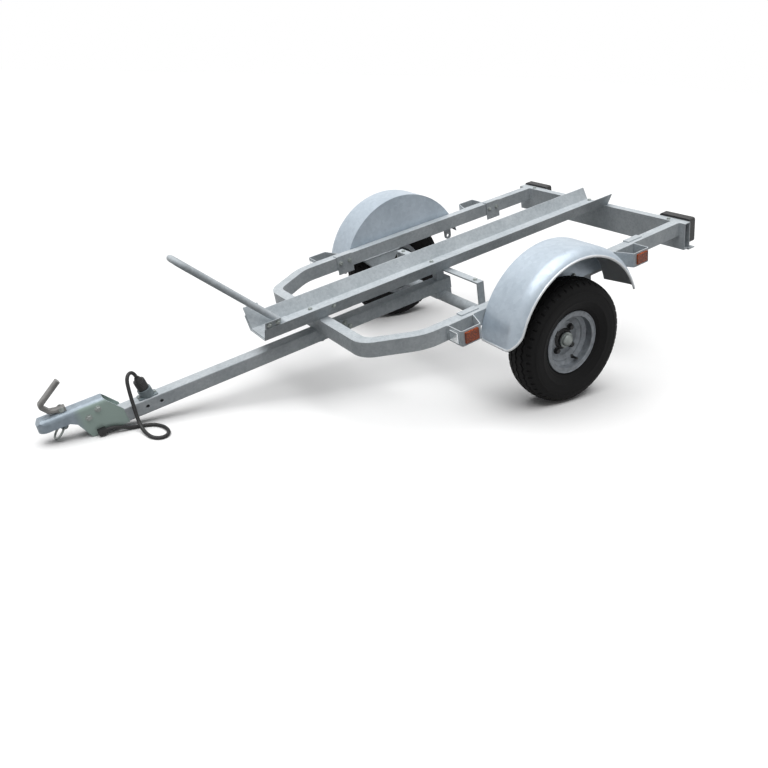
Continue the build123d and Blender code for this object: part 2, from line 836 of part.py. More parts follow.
# Coupling lever: a bent bar hinged on the head, shown closed
lever_places = [
    # ahead of the ball, above the head
    (-34, 0),
    (-6, 6),
    (15, 35),
    (-61, 93),
]
lever_bends = (12, 10)
with BuildPart() as coupling_lever:
    with BuildLine(Plane.XZ) as lever_path:
        FilletPolyline(
            *[(ball_place + ahead, coupling_top + lever_thickness / 2 + up) for ahead, up in lever_places],
            radius=lever_bends,
        )
    with BuildSketch(Plane(lever_path.line @ 0, x_dir=(0, 1, 0), z_dir=lever_path.line % 0)):
        RectangleRounded(lever_width, lever_thickness, lever_edge)
    sweep()
    with BuildSketch(Plane.XZ):
        with Locations((ball_place - lever_root[2], coupling_top + lever_root[1] / 2)):
            Rectangle(lever_root[0], lever_root[1])
    extrude(amount=lever_width / 2, both=True)
keep("coupling_lever", coupling_lever.part)

# Safety ring: hangs from the lug under the coupling's head
ring_radius = (ring_diameter - ring_bar) / 2
ring_hang = radians(ring_lean)
ring_center = (
    lug_hole[0] + ring_radius * cos(ring_hang),
    0,
    lug_hole[1] - ring_radius * sin(ring_hang),
)
with BuildPart(Plane(ring_center, x_dir=(0, 1, 0), z_dir=(sin(ring_hang), 0, cos(ring_hang)))) as safety_ring:
    Torus(ring_radius, ring_bar / 2)
keep("safety_ring", safety_ring.part)

# Plug parked in a cup on the drawbar
plug_plane = Plane(
    (plug_foot, 0, frame_bottom + holder_floor),
    x_dir=(0, 1, 0),
    z_dir=(sin(radians(plug_lean)), 0, cos(radians(plug_lean))),
)
with BuildPart() as plug_holder:
    with BuildSketch(Plane.XY.offset(frame_bottom)):
        with Locations((plug_foot, 0)):
            RectangleRounded(holder_base[0], holder_base[1], holder_corner)
    extrude(amount=holder_base[2])
    with BuildSketch(plug_plane.offset(-plug_diameter / 2)):
        Circle(plug_diameter / 2 + holder_wall)
    extrude(amount=plug_diameter / 2 + holder_cup_height)
    with BuildSketch(plug_plane):
        Circle(plug_diameter / 2 + side_fit)
    extrude(amount=holder_cup_height, mode=Mode.SUBTRACT)
    split(bisect_by=Plane.XY.offset(frame_bottom), keep=Keep.TOP)
keep("plug_holder", plug_holder.part)

with BuildPart() as plug:
    with BuildSketch(plug_plane):
        Circle(plug_diameter / 2)
    extrude(amount=plug_length)
    with BuildSketch(plug_plane.offset(plug_length)):
        Circle(plug_diameter / 2 - plug_neck_step)
    extrude(amount=plug_neck, taper=plug_neck_taper)
    fillet(plug.edges().group_by(Axis.Z)[0], plug_edge)
keep("plug", plug.part)

# Lead gland: a rubber block on the coupling's left wall where the lead comes out
gland_back = coupling_toe - gland_setback - gland_length
gland_middle = drawbar_bottom + gland_rise + gland_height / 2
with BuildPart() as lead_gland:
    with BuildSketch(along_y(coupling_half)):
        with Locations((gland_back + gland_length / 2, gland_middle)):
            RectangleRounded(gland_length, gland_height, gland_corner)
    extrude(amount=-gland_reach)
keep("lead_gland", lead_gland.part)

# Park the trailer: tip it about the wheel axis, then centre its footprint on the origin
tipped = Location((0, 0, wheel_radius)) * Location((0, 0, 0), (0, degrees(park_pitch), 0))
tipped = tipped * Location((0, 0, -wheel_radius))
bounds = Compound([part.moved(tipped) for part in pieces.values()]).bounding_box()
parked = Location((-bounds.center().X, 0, 0)) * tipped

# Lead: lies in one loop on the ground, crosses over itself and climbs past the drawbar into the plug
gland_place = (gland_back, coupling_half + gland_reach / 2, gland_middle)
gland_ahead = (gland_back - lead_straight, coupling_half + gland_reach / 2, gland_middle)
plug_tip = plug_plane.offset(plug_length + plug_neck).origin
plug_ahead = plug_plane.offset(plug_length + plug_neck + lead_arch).origin
lead_route = [
    (parked * Location(gland_place)).position,
    (parked * Location(gland_ahead)).position,
    (1002, 38.2, 18.5),
    (977, 38.8, 9.5),
    (950, 39.6, 6.2),
    (920, 42, 6.2),
    (894, 52, 6.2),
    (876, 75, 6.2),
    (869, 104, 6.2),
    (873, 132, 6.2),
    (890, 151, 6.2),
    (912, 152, 6.2),
    (930, 136, 6.2),
    (938, 107, 7.5),
    (942, 80, 13),
    (945, 58, 26),
    (948, 44, 48),
    (952, 38.5, 76),
    (957, 35.5, 106),
    (961, 30.5, 138),
    (963.3, 24, 169.9),
    (953.1, 12, 186.8),
    (parked * Location(plug_ahead)).position,
    (parked * Location(plug_tip)).position,
]
lead_points = [Vector(place) for place in lead_route]
lead_bends = []
for before, corner, after in zip(lead_points, lead_points[1:], lead_points[2:]):
    turn = radians((corner - before).get_angle(after - corner))
    run = min((corner - before).length, (after - corner).length)
    lead_bends.append(fillet_share * run / tan(turn / 2))
with BuildPart() as lead:
    with BuildLine() as lead_line:
        FilletPolyline(*lead_points, radius=lead_bends)
    with BuildSketch(Plane(lead_line.line @ 0, z_dir=lead_line.line % 0)):
        Circle(lead_diameter / 2)
    sweep()

# Export, one file for each piece
os.makedirs("parts", exist_ok=True)
parked_pieces = {name: part.moved(parked) for name, part in pieces.items()}
parked_pieces["lead"] = lead.part
for name, piece in parked_pieces.items():
    piece.label = name
    export_step(piece, f"parts/{name}.step")

print("pitch", round(degrees(park_pitch), 4), "shift", parked.position, "box", bounds.min, bounds.max)
print("lead bends", [round(bend, 1) for bend in lead_bends])
print("lead length", round(sum(edge.length for edge in lead_line.edges()), 1), "volume", round(lead.part.volume))
print("lead points", [(round(p.X, 1), round(p.Y, 1), round(p.Z, 1)) for p in lead_points])
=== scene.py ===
"""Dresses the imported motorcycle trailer: finishes, tyres, fasteners, welds, lamps, lead and studio."""

import json
import math

import bmesh
import bpy
from bpy.props import FloatProperty, FloatVectorProperty, IntProperty, PointerProperty, StringProperty
from mathutils import Matrix, Vector


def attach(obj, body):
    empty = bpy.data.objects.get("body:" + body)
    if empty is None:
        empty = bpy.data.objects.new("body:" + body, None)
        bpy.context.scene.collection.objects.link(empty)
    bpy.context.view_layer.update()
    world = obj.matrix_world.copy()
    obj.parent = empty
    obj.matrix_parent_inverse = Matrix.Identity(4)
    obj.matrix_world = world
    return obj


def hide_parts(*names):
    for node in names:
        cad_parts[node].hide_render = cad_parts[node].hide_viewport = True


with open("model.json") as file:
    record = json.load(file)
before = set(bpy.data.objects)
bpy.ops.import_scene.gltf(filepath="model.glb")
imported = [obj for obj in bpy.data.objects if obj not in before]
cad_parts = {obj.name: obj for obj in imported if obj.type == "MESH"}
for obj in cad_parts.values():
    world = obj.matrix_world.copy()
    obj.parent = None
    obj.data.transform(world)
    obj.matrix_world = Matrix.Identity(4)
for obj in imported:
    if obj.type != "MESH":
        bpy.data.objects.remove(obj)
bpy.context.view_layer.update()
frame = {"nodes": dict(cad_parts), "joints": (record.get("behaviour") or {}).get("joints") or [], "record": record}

bl_info = {
    "name": "Motorcycle trailer dressing",
    "version": (1, 0, 0),
    "blender": (4, 5, 0),
    "location": "View3D > Sidebar > Trailer",
    "description": "Adds finishes, tyres, fasteners, welds, lamps and a studio to the trailer",
    "category": "Object",
}

NODES = frame["nodes"]
MM = 0.001

# The chassis frame: millimetres ahead of the wheel axis, to the left and above the road
WHEEL_AXIS = Vector(next(j for j in frame["joints"] if j["name"] == "wheel_left_spin")["pos_m"])
RAIL_MOUNT = next(m for m in frame["record"]["mounts"] if m["name"] == "rail_floor")
UP = Vector(RAIL_MOUNT["axis"]).normalized()
LEFT = Vector((0, 1, 0))
AHEAD = LEFT.cross(UP)
WHEEL_PLANE = WHEEL_AXIS.y / MM
WHEEL_RADIUS = WHEEL_AXIS.z / MM
SIDES = {"left": 1, "right": -1}

# Sizes of the solids that the pieces here sit on, in chassis millimetres
TUBE_OUTER = 461.5
TUBE_INNER = 421.5
TUBE_BOTTOM = 370.0
TUBE_TOP = 426.0
DRAWBAR_HALF = 25.0
RAIL_FLOOR = 429.0
# The line that the mudguards bend round, and where the coupling's head meets its side plates
ARCH_MIDDLE = (-8.0, 0.0, 270.0)
COUPLING_SEAM = (1572.0, 0.0, 400.0)


def place(x, y, z):
    """Point of the parked trailer for a place in the level chassis frame, in millimetres."""
    axle = Vector((WHEEL_AXIS.x, 0, WHEEL_AXIS.z))
    return axle + (AHEAD * x + LEFT * y + UP * (z - WHEEL_RADIUS)) * MM


def facing(spot, toward):
    """Matrix at a chassis place whose local Z looks along a direction of the parked trailer."""
    spin = Vector(toward).normalized().to_track_quat("Z", "Y").to_matrix().to_4x4()
    return Matrix.Translation(place(*spot)) @ spin


def wheel_matrix(side):
    """Matrix at a wheel's middle whose local Z points outboard and whose local X points up."""
    outboard = LEFT * side
    turn = Matrix((UP, outboard.cross(UP), outboard)).transposed().to_4x4()
    return Matrix.Translation(place(0, side * WHEEL_PLANE, WHEEL_RADIUS)) @ turn


# Materials


def linear(code):
    """Linear colour for an sRGB hex value such as 8fa0b0."""
    parts = [int(code[i : i + 2], 16) / 255 for i in (0, 2, 4)]
    bent = [c / 12.92 if c <= 0.04045 else ((c + 0.055) / 1.055) ** 2.4 for c in parts]
    return (*bent, 1.0)


def add_node(tree, kind, inputs=None, stops=(), **settings):
    """Add one node with its settings and a ramp's stops; inputs maps sockets to values or outputs."""
    node = tree.nodes.new(f"ShaderNode{kind}")
    if stops:
        for element, (position, colour) in zip(node.color_ramp.elements, stops):
            element.position, element.color = position, colour
    for name, value in settings.items():
        setattr(node, name, value)
    for socket, value in (inputs or {}).items():
        if isinstance(value, bpy.types.NodeSocket):
            tree.links.new(value, node.inputs[socket])
        else:
            node.inputs[socket].default_value = value
    return node


def start_material(name, **sockets):
    """New material with its shader's constant sockets set: the material, its tree and the shader."""
    material = bpy.data.materials.new(name)
    material.use_nodes = True
    tree = material.node_tree
    shader = tree.nodes["Principled BSDF"]
    for socket, value in sockets.items():
        shader.inputs[socket.replace("_", " ")].default_value = value
    return material, tree, shader


# Hot-dip zinc, in millimetres: width of a run-off patch, of the coat's lumps and of a softened edge,
# and height of the lumps
ZINC_PATCH = 110.0
ZINC_LUMP = 7.0
ZINC_EDGE = 1.6
ZINC_LUMP_HEIGHT = 0.3


def hot_dip_zinc(name, dark, light, spangle, roughness, **sockets):
    """Steel with a zinc coat: dull grey metal with faint crystals, cloudy patches and soft edges."""
    material, tree, shader = start_material(name, **sockets)
    tones = (0.28, linear(dark)), (0.72, linear(light))
    spot = add_node(tree, "TexCoord").outputs["Object"]
    crystals = add_node(tree, "TexVoronoi", {"Vector": spot, "Scale": 1 / spangle})
    patches = add_node(
        tree,
        "TexNoise",
        {"Vector": spot, "Scale": 1 / (ZINC_PATCH * MM), "Detail": 6.0, "Roughness": 0.65},
    )
    cell = add_node(tree, "SeparateColor", {"Color": crystals.outputs["Color"]})
    tone = add_node(
        tree,
        "Mix",
        {"Factor": 0.8, 2: cell.outputs["Red"], 3: patches.outputs["Fac"]},
        data_type="FLOAT",
    )
    shade = add_node(tree, "ValToRGB", {"Fac": tone.outputs[0]}, stops=tones)
    tree.links.new(shade.outputs["Color"], shader.inputs["Base Color"])
    gloss = add_node(
        tree,
        "MapRange",
        {"Value": tone.outputs[0], "To Min": roughness + 0.08, "To Max": roughness - 0.06},
    )
    tree.links.new(gloss.outputs["Result"], shader.inputs["Roughness"])
    edges = add_node(tree, "Bevel", {"Radius": ZINC_EDGE * MM}, samples=4)
    lumps = add_node(tree, "TexNoise", {"Vector": spot, "Scale": 1 / (ZINC_LUMP * MM), "Detail": 3.0})
    bump = add_node(
        tree,
        "Bump",
        {
            "Height": lumps.outputs["Fac"],
            "Strength": 0.1,
            "Distance": ZINC_LUMP_HEIGHT * MM,
            "Normal": edges.outputs["Normal"],
        },
    )
    tree.links.new(bump.outputs["Normal"], shader.inputs["Normal"])
    return material


# How far the inside of a mudguard looks back at its line, in millimetres, where the painted shade starts and is
# full
SHADE_START, SHADE_FULL = -50.0, -150.0


def painted_inner_shade(material, arch, shade_colour, metallic):
    """Painted shade on the inside of a sheet that bends round a line across the trailer: grey, with no shine."""
    tree = material.node_tree
    shader = tree.nodes["Principled BSDF"]
    surface = add_node(tree, "NewGeometry")
    spoke = add_node(
        tree, "VectorMath", {0: surface.outputs["Position"], 1: arch}, operation="SUBTRACT"
    )
    lengthwise = add_node(tree, "VectorMath", {0: spoke.outputs[0], 1: (1, 0, 1)}, operation="MULTIPLY")
    outward = add_node(
        tree,
        "VectorMath",
        {0: lengthwise.outputs[0], 1: surface.outputs["True Normal"]},
        operation="DOT_PRODUCT",
    )
    # Share of painted shade: none near the line, full deep inside the arch
    film = add_node(
        tree,
        "MapRange",
        {"Value": outward.outputs["Value"], "From Min": SHADE_START * MM, "From Max": SHADE_FULL * MM},
    ).outputs["Result"]
    sheet = shader.inputs["Base Color"].links[0].from_socket
    colour = add_node(tree, "Mix", {"Factor": film, 6: sheet, 7: linear(shade_colour)}, data_type="RGBA")
    tree.links.new(colour.outputs[2], shader.inputs["Base Color"])
    gloss = shader.inputs["Roughness"].links[0].from_socket
    dull = add_node(tree, "Mix", {"Factor": film, 2: gloss, 3: 0.8}, data_type="FLOAT")
    tree.links.new(dull.outputs[0], shader.inputs["Roughness"])
    metal = add_node(tree, "MapRange", {"Value": film, "To Min": metallic, "To Max": 0.0})
    tree.links.new(metal.outputs["Result"], shader.inputs["Metallic"])


# Half the length over which the coupling's two tints meet, in millimetres, and how squarely a plate
# faces sideways where the second tint starts and is full
TINT_BLEND = 12.0
PLATE_START, PLATE_FULL = 0.6, 0.9


def olive_plates(material, seam, olive):
    """Greener chromate on the upright plates behind a seam; the pressing ahead of it stays blue-grey."""
    tree = material.node_tree
    shader = tree.nodes["Principled BSDF"]
    surface = add_node(tree, "NewGeometry")
    past = add_node(tree, "VectorMath", {0: surface.outputs["Position"], 1: seam}, operation="SUBTRACT")
    ahead = add_node(tree, "VectorMath", {0: past.outputs[0], 1: AHEAD}, operation="DOT_PRODUCT")
    behind = add_node(
        tree,
        "MapRange",
        {"Value": ahead.outputs["Value"], "From Min": TINT_BLEND * MM, "From Max": -TINT_BLEND * MM},
    )
    across = add_node(
        tree, "VectorMath", {0: surface.outputs["True Normal"], 1: LEFT}, operation="DOT_PRODUCT"
    )
    sideways = add_node(tree, "Math", {0: across.outputs["Value"]}, operation="ABSOLUTE")
    upright = add_node(
        tree,
        "MapRange",
        {"Value": sideways.outputs[0], "From Min": PLATE_START, "From Max": PLATE_FULL},
    )
    share = add_node(
        tree, "Math", {0: behind.outputs["Result"], 1: upright.outputs["Result"]}, operation="MULTIPLY"
    )
    plating = shader.inputs["Base Color"].links[0].from_socket
    colour = add_node(
        tree, "Mix", {"Factor": share.outputs[0], 6: plating, 7: linear(olive)}, data_type="RGBA"
    )
    tree.links.new(colour.outputs[2], shader.inputs["Base Color"])


# Width of a cloud of colour in a moulded or painted surface, in grains of its skin
MOTTLE_GRAINS = 14


def speckled(name, dark, light, grain_mm, bump_mm, **sockets):
    """Moulded, cast or painted surface: a slight mottle in colour and a fine skin.

    The real skin is finer than a picture shows, so its grain is drawn as coarse as it needs to be.
    """
    material, tree, shader = start_material(name, **sockets)
    spot = add_node(tree, "TexCoord").outputs["Object"]
    mottle = add_node(
        tree, "TexNoise", {"Vector": spot, "Scale": 1 / (MOTTLE_GRAINS * grain_mm * MM), "Detail": 5.0}
    )
    tones = (0.3, linear(dark)), (0.7, linear(light))
    shade = add_node(tree, "ValToRGB", {"Fac": mottle.outputs["Fac"]}, stops=tones)
    tree.links.new(shade.outputs["Color"], shader.inputs["Base Color"])
    skin = add_node(tree, "TexNoise", {"Vector": spot, "Scale": 1 / (grain_mm * MM), "Detail": 2.0})
    bump = add_node(
        tree, "Bump", {"Height": skin.outputs["Fac"], "Strength": 0.25, "Distance": bump_mm * MM}
    )
    tree.links.new(bump.outputs["Normal"], shader.inputs["Normal"])
    return material


# Width and depth of one moulded prism, in millimetres
PRISM = 3.0
PRISM_DEPTH = 0.6


def prism_plastic(name, dark, light, mirror=0.0):
    """Moulded acrylic over rows of small prisms: painted glints and painted shade, as bright and dark facets in a
    fine honeycomb.

    mirror is the share of light that silvered prisms behind it throw back.
    """
    material, tree, shader = start_material(
        name, Roughness=0.15, Metallic=mirror, Specular_IOR_Level=0.35
    )
    spot = add_node(tree, "TexCoord").outputs["Object"]
    cells = add_node(tree, "TexVoronoi", {"Vector": spot, "Scale": 1 / (PRISM * MM), "Randomness": 0.1})
    facet = add_node(tree, "SeparateColor", {"Color": cells.outputs["Color"]})
    tones = (0.0, linear(dark)), (1.0, linear(light))
    # Each prism gets a tone between a painted shaded colour and a painted lit one
    shade = add_node(tree, "ValToRGB", {"Fac": facet.outputs["Green"]}, stops=tones)
    tree.links.new(shade.outputs["Color"], shader.inputs["Base Color"])
    bump = add_node(
        tree,
        "Bump",
        {"Height": cells.outputs["Distance"], "Strength": 0.4, "Distance": PRISM_DEPTH * MM},
    )
    tree.links.new(bump.outputs["Normal"], shader.inputs["Normal"])
    return material


FINISH = {}


def make_finishes():
    """Make every finish once, some from the sidebar's colours and the rest from colours given here."""
    tint = bpy.context.scene.trailer_finishes
    # Hot-dip zinc on tube and plate: matt mid grey, a little metallic
    FINISH["galvanised"] = hot_dip_zinc(
        "hot_dip_galvanised_steel",
        tint.zinc_dark,
        tint.zinc_light,
        tint.spangle,
        roughness=0.5,
        Metallic=0.06,
        Specular_IOR_Level=0.3,
    )
    # Rolled sheet coated before pressing: smoother and more silvery than the dipped tube
    FINISH["guard"] = hot_dip_zinc(
        "rolled_zinc_coated_sheet",
        tint.guard_dark,
        tint.guard_light,
        2 * tint.spangle,
        roughness=0.36,
        Specular_IOR_Level=0.4,
    )
    # Painted shade on the inside of each mudguard's arch, where the sheet faces the wheel
    painted_inner_shade(FINISH["guard"], place(*ARCH_MIDDLE), "a6a9ab", metallic=0.3)

    plating = {"grain_mm": 1.5, "bump_mm": 0.05, "Metallic": 0.2, "Roughness": 0.36}
    # Electro-plated zinc on pressings and fasteners: thin, even and slightly shiny
    FINISH["plated"] = speckled("zinc_plated_steel", tint.plated_dark, tint.plated_light, **plating)
    # Chromated zinc: a thin film that tints the plating blue on the head and green on the side plates
    FINISH["coupling"] = speckled("chromated_zinc_plate", "8895a0", "a0adb8", **plating)
    olive_plates(FINISH["coupling"], place(*COUPLING_SEAM), "9cafa8")
    # Drop-forged bar under worn plating: darker and rougher than the pressings
    FINISH["lever"] = speckled(
        "drop_forged_steel", "6f6e6c", "92918f", grain_mm=2.0, bump_mm=0.15, Metallic=0.2, Roughness=0.45
    )
    # Rolled sheet edge, painted pale as a highlight: a pale line along the lip, standing for the light that the
    # bead catches
    FINISH["edge"] = speckled(
        "painted_highlight_sheet_edge", "dfe4e8", "eef1f3", grain_mm=1.5, bump_mm=0.02, Metallic=0.2, Roughness=0.25
    )
    # Sprayed wheel paint with metal flakes: even silver with a satin sheen
    FINISH["rim"] = speckled(
        "silver_wheel_paint",
        tint.rim_dark,
        tint.rim_light,
        grain_mm=1.2,
        bump_mm=0.04,
        Metallic=0.2,
        Roughness=0.42,
    )
    # Sand-cast iron under thin black paint: nearly black, with a coarse skin
    FINISH["hub"] = speckled(
        "painted_cast_iron", "0f0f10", "242425", grain_mm=1.8, bump_mm=0.25, Metallic=0.2, Roughness=0.58
    )
    # Carbon-black rubber from a mould: near black with a dusty bloom
    FINISH["tyre"] = speckled(
        "vulcanised_rubber",
        tint.tyre_dark,
        tint.tyre_light,
        grain_mm=2.0,
        bump_mm=0.12,
        Roughness=0.8,
        Specular_IOR_Level=0.2,
    )

    moulding = {"grain_mm": 1.0, "bump_mm": 0.06, "Roughness": 0.5}
    # Polypropylene from a spark-eroded mould: fine grain with a faint sheen
    FINISH["black"] = speckled("moulded_black_plastic", "0c0c0d", "171718", **moulding)
    # The same without the black: a flat, cool grey
    FINISH["grey"] = speckled("moulded_grey_plastic", "6f7b80", "8b979c", **moulding)
    # Extruded soft rubber: smooth, with a dull sheen
    FINISH["sheath"] = speckled(
        "soft_cable_sheath", "101011", "1d1d1e", grain_mm=1.2, bump_mm=0.05, Roughness=0.55
    )
    # Dyed acrylic, moulded: deep colour, with painted glints and painted shade on its prisms
    FINISH["red"] = prism_plastic("red_acrylic_lens", "84100f", "aa1f19")
    FINISH["turn"] = prism_plastic("amber_acrylic_lens", "b15e0b", "d9851b")
    FINISH["amber"] = prism_plastic("amber_acrylic_reflector", tint.amber_dark, tint.amber_light)
    # Clear acrylic over silvered prisms: as bright as what it faces, with faint painted glints on its prisms
    FINISH["clear"] = prism_plastic("clear_acrylic_reflector", "ccd2d6", "f4f6f7", mirror=0.9)


NODE_FINISH = {
    "galvanised": (
        "drawbar", "frame_tube_left", "frame_tube_right", "rear_crossmember", "lamp_carriers", "rail",
        "hoop_bracket", "wheel_hoop", "axle_tube", "axle_saddle", "axle_brackets", "axle_arm_left",
        "axle_arm_right", "rail_bridge", "bridge_post", "front_reflector_brackets",
        "rear_reflector_brackets", "frame_clamps", "lashing_lugs", "guard_pads",
    ),
    "guard": ("mudguard_left", "mudguard_right"),
    "rim": ("rim_left", "rim_right"),
    "hub": ("hub_left", "hub_right"),
    "plated": ("hub_cap_left", "hub_cap_right", "safety_ring"),
    "coupling": ("coupling_body",),
    "lever": ("coupling_lever",),
    "tyre": ("tyre_left", "tyre_right"),
    "black": ("rear_lamps", "plug"),
    "grey": ("plug_holder",),
    "sheath": ("lead", "lead_gland"),
    "red": ("rear_lenses",),
    "amber": ("front_side_reflectors", "rear_side_reflectors"),
    "clear": ("front_reflectors",),
}


# Mesh building

# Sharpest fold that still looks smooth, in degrees, on pieces with edges and on round ones
CRISP, SOFT = 35, 60


def finish_piece(name, mesh, finishes, body, smooth_degrees=CRISP):
    """Make an object from a filled bmesh, give it its finishes and let it ride on a body."""
    bmesh.ops.recalc_face_normals(mesh, faces=mesh.faces)
    data = bpy.data.meshes.new(name)
    mesh.to_mesh(data)
    mesh.free()
    for polygon in data.polygons:
        polygon.use_smooth = True
    data.set_sharp_from_angle(angle=math.radians(smooth_degrees))
    piece = bpy.data.objects.new(name, data)
    bpy.context.scene.collection.objects.link(piece)
    for finish in finishes:
        data.materials.append(FINISH[finish])
    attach(piece, body)
    return piece


def skin_rings(mesh, rings, closed_along=False):
    """Join neighbouring rings of points with four-sided faces."""
    following = rings[1:] + rings[:1] if closed_along else rings[1:]
    for now, then in zip(rings, following):
        for i in range(len(now)):
            j = (i + 1) % len(now)
            mesh.faces.new((now[i], now[j], then[j], then[i]))


def turned_ring(mesh, matrix, section, steps):
    """Turn a closed section of (radius, along) points, in metres, right round a matrix's Z axis."""
    rings = []
    for step in range(steps):
        spin = Matrix.Rotation(2 * math.pi * step / steps, 4, "Z")
        spots = [matrix @ spin @ Vector((radius, 0, along)) for radius, along in section]
        rings.append([mesh.verts.new(spot) for spot in spots])
    skin_rings(mesh, rings, closed_along=True)


def round_section(radius, along, thick, count=10):
    """Round bar's section for turned_ring, in metres."""
    turns = [2 * math.pi * i / count for i in range(count)]
    return [(radius + thick * math.cos(turn), along + thick * math.sin(turn)) for turn in turns]


def stacked(mesh, matrix, levels, sides):
    """Add a closed post about a matrix's Z axis from (radius, height) levels, in metres."""
    rings = []
    for radius, height in levels:
        turns = [2 * math.pi * i / sides for i in range(sides)]
        spots = [Vector((radius * math.cos(turn), radius * math.sin(turn), height)) for turn in turns]
        rings.append([mesh.verts.new(matrix @ spot) for spot in spots])
    skin_rings(mesh, rings)
    mesh.faces.new(list(reversed(rings[0])))
    mesh.faces.new(rings[-1])


# A bolt's washer, the washer's top and the hexagon's chamfered top, against the hexagon's corners
WASHER_WIDE, WASHER_TOP, HEX_TOP = 1.25, 1.2, 0.84


def hex_bolt(mesh, matrix, across, head, washer):
    """Add a chamfered hexagon head on a round washer, standing on the matrix's XY plane."""
    corner = across / math.sqrt(3)
    wide = WASHER_WIDE * corner
    disc = [(wide, -0.2 * washer), (wide, 0.8 * washer), (WASHER_TOP * corner, washer)]
    hexagon = [(corner, 0.9 * washer), (corner, washer + 0.8 * head), (HEX_TOP * corner, washer + head)]
    stacked(mesh, matrix, disc, sides=24)
    stacked(mesh, matrix, hexagon, sides=6)


def swept_tube(mesh, points, radii, sides):
    """Add a closed round tube through a list of points, with a radius at each."""
    last = len(points) - 1
    rings = []
    side = None
    for i, point in enumerate(points):
        along = (points[min(i + 1, last)] - points[max(i - 1, 0)]).normalized()
        side = along.orthogonal() if side is None else side - along * side.dot(along)
        side.normalize()
        other = along.cross(side)
        turns = [2 * math.pi * step / sides for step in range(sides)]
        spokes = [(side * math.cos(turn) + other * math.sin(turn)) * radii[i] for turn in turns]
        rings.append([mesh.verts.new(point + spoke) for spoke in spokes])
    skin_rings(mesh, rings)
    mesh.faces.new(list(reversed(rings[0])))
    mesh.faces.new(rings[-1])


# A weld's points in one ripple, how far the ripple swells, and its ends against its size
RIPPLE_POINTS, RIPPLE_SWELL, WELD_END = 4, 0.14, 0.4


def weld_seam(mesh, corners, size, ripple):
    """Lay a rippled weld along straight runs between chassis places."""
    ends = [place(*corner) for corner in corners]
    for start, stop in zip(ends, ends[1:]):
        count = max(RIPPLE_POINTS, round((stop - start).length / (ripple / RIPPLE_POINTS)))
        points = [start.lerp(stop, i / count) for i in range(count + 1)]
        waves = [math.cos(2 * math.pi * i / RIPPLE_POINTS) for i in range(count + 1)]
        radii = [size * (1 - RIPPLE_SWELL + RIPPLE_SWELL * wave) for wave in waves]
        radii[0] = radii[-1] = WELD_END * size
        swept_tube(mesh, points, radii, sides=8)


def arc_through(first, middle, last, shares):
    """Points at given shares of the circle arc that runs from first through middle to last."""
    (ax, ay), (bx, by), (cx, cy) = first, middle, last
    scale = 2 * (ax * (by - cy) + bx * (cy - ay) + cx * (ay - by))
    a, b, c = ax**2 + ay**2, bx**2 + by**2, cx**2 + cy**2
    x = (a * (by - cy) + b * (cy - ay) + c * (ay - by)) / scale
    y = (a * (cx - bx) + b * (ax - cx) + c * (bx - ax)) / scale
    radius = math.hypot(ax - x, ay - y)
    start = math.atan2(ay - y, ax - x)
    through = (math.atan2(by - y, bx - x) - start) % (2 * math.pi)
    sweep = (math.atan2(cy - y, cx - x) - start) % (2 * math.pi)
    if through > sweep:
        sweep -= 2 * math.pi
    turns = [start + share * sweep for share in shares]
    return [(x + radius * math.cos(turn), y + radius * math.sin(turn)) for turn in turns]


# Settings in the sidebar

LENGTH = {"unit": "LENGTH", "subtype": "DISTANCE"}


class TrailerFinishes(bpy.types.PropertyGroup):
    """Colours of the trailer's finishes, as sRGB hex values."""

    zinc_dark: StringProperty(
        name="Zinc, dark", description="Darkest clouds of the dipped zinc", default="abb3b8"
    )
    zinc_light: StringProperty(
        name="Zinc, light", description="Palest clouds of the dipped zinc", default="cbd1d5"
    )
    guard_dark: StringProperty(
        name="Mudguard, dark", description="Darker tone of the sheet", default="b2bfcb"
    )
    guard_light: StringProperty(
        name="Mudguard, light", description="Paler tone of the sheet", default="c8d4df"
    )
    plated_dark: StringProperty(
        name="Plating, dark", description="Darker tone of the plating", default="949b98"
    )
    plated_light: StringProperty(
        name="Plating, light", description="Paler tone of the plating", default="b2b9b6"
    )
    rim_dark: StringProperty(
        name="Rim, dark", description="Darker tone of the wheel paint", default="7b8085"
    )
    rim_light: StringProperty(
        name="Rim, light", description="Paler tone of the wheel paint", default="9aa0a7"
    )
    tyre_dark: StringProperty(
        name="Tyre, dark", description="Darker tone of the rubber", default="070707"
    )
    tyre_light: StringProperty(
        name="Tyre, light", description="Paler tone of the rubber", default="0e0e0f"
    )
    amber_dark: StringProperty(
        name="Amber, dark", description="Shaded prisms of a side reflector", default="602206"
    )
    amber_light: StringProperty(
        name="Amber, light", description="Bright prisms of a side reflector", default="c8560f"
    )
    spangle: FloatProperty(
        name="Spangle", description="Width of a zinc crystal", default=8 * MM, **LENGTH
    )


class TrailerSizes(bpy.types.PropertyGroup):
    """Sizes of the pieces that this script adds."""

    bolt_across: FloatProperty(
        name="Bolt", description="Width across a bolt's flats", default=17 * MM, **LENGTH
    )
    bolt_head: FloatProperty(
        name="Bolt head", description="Height of a bolt's head", default=7 * MM, **LENGTH
    )
    washer: FloatProperty(name="Washer", description="Thickness of a washer", default=2 * MM, **LENGTH)
    tread_depth: FloatProperty(
        name="Tread depth", description="Depth of the tyre's grooves", default=5 * MM, **LENGTH
    )
    tread_pitches: IntProperty(
        name="Tread pitches", description="Zigzags round the tyre", default=46, min=12
    )
    lip_bead: FloatProperty(
        name="Lip bead", description="Radius of the rolled mudguard edge", default=4.5 * MM, **LENGTH
    )
    weld_size: FloatProperty(name="Weld", description="Radius of a weld seam", default=3 * MM, **LENGTH)
    weld_ripple: FloatProperty(
        name="Weld ripple", description="Length of one ripple of a weld", default=5 * MM, **LENGTH
    )
    lens_flute: FloatProperty(
        name="Lens flute", description="Width of a flute in the rear lens", default=9 * MM, **LENGTH
    )
    lead_diameter: FloatProperty(
        name="Lead", description="Diameter of the electric lead", default=12 * MM, **LENGTH
    )


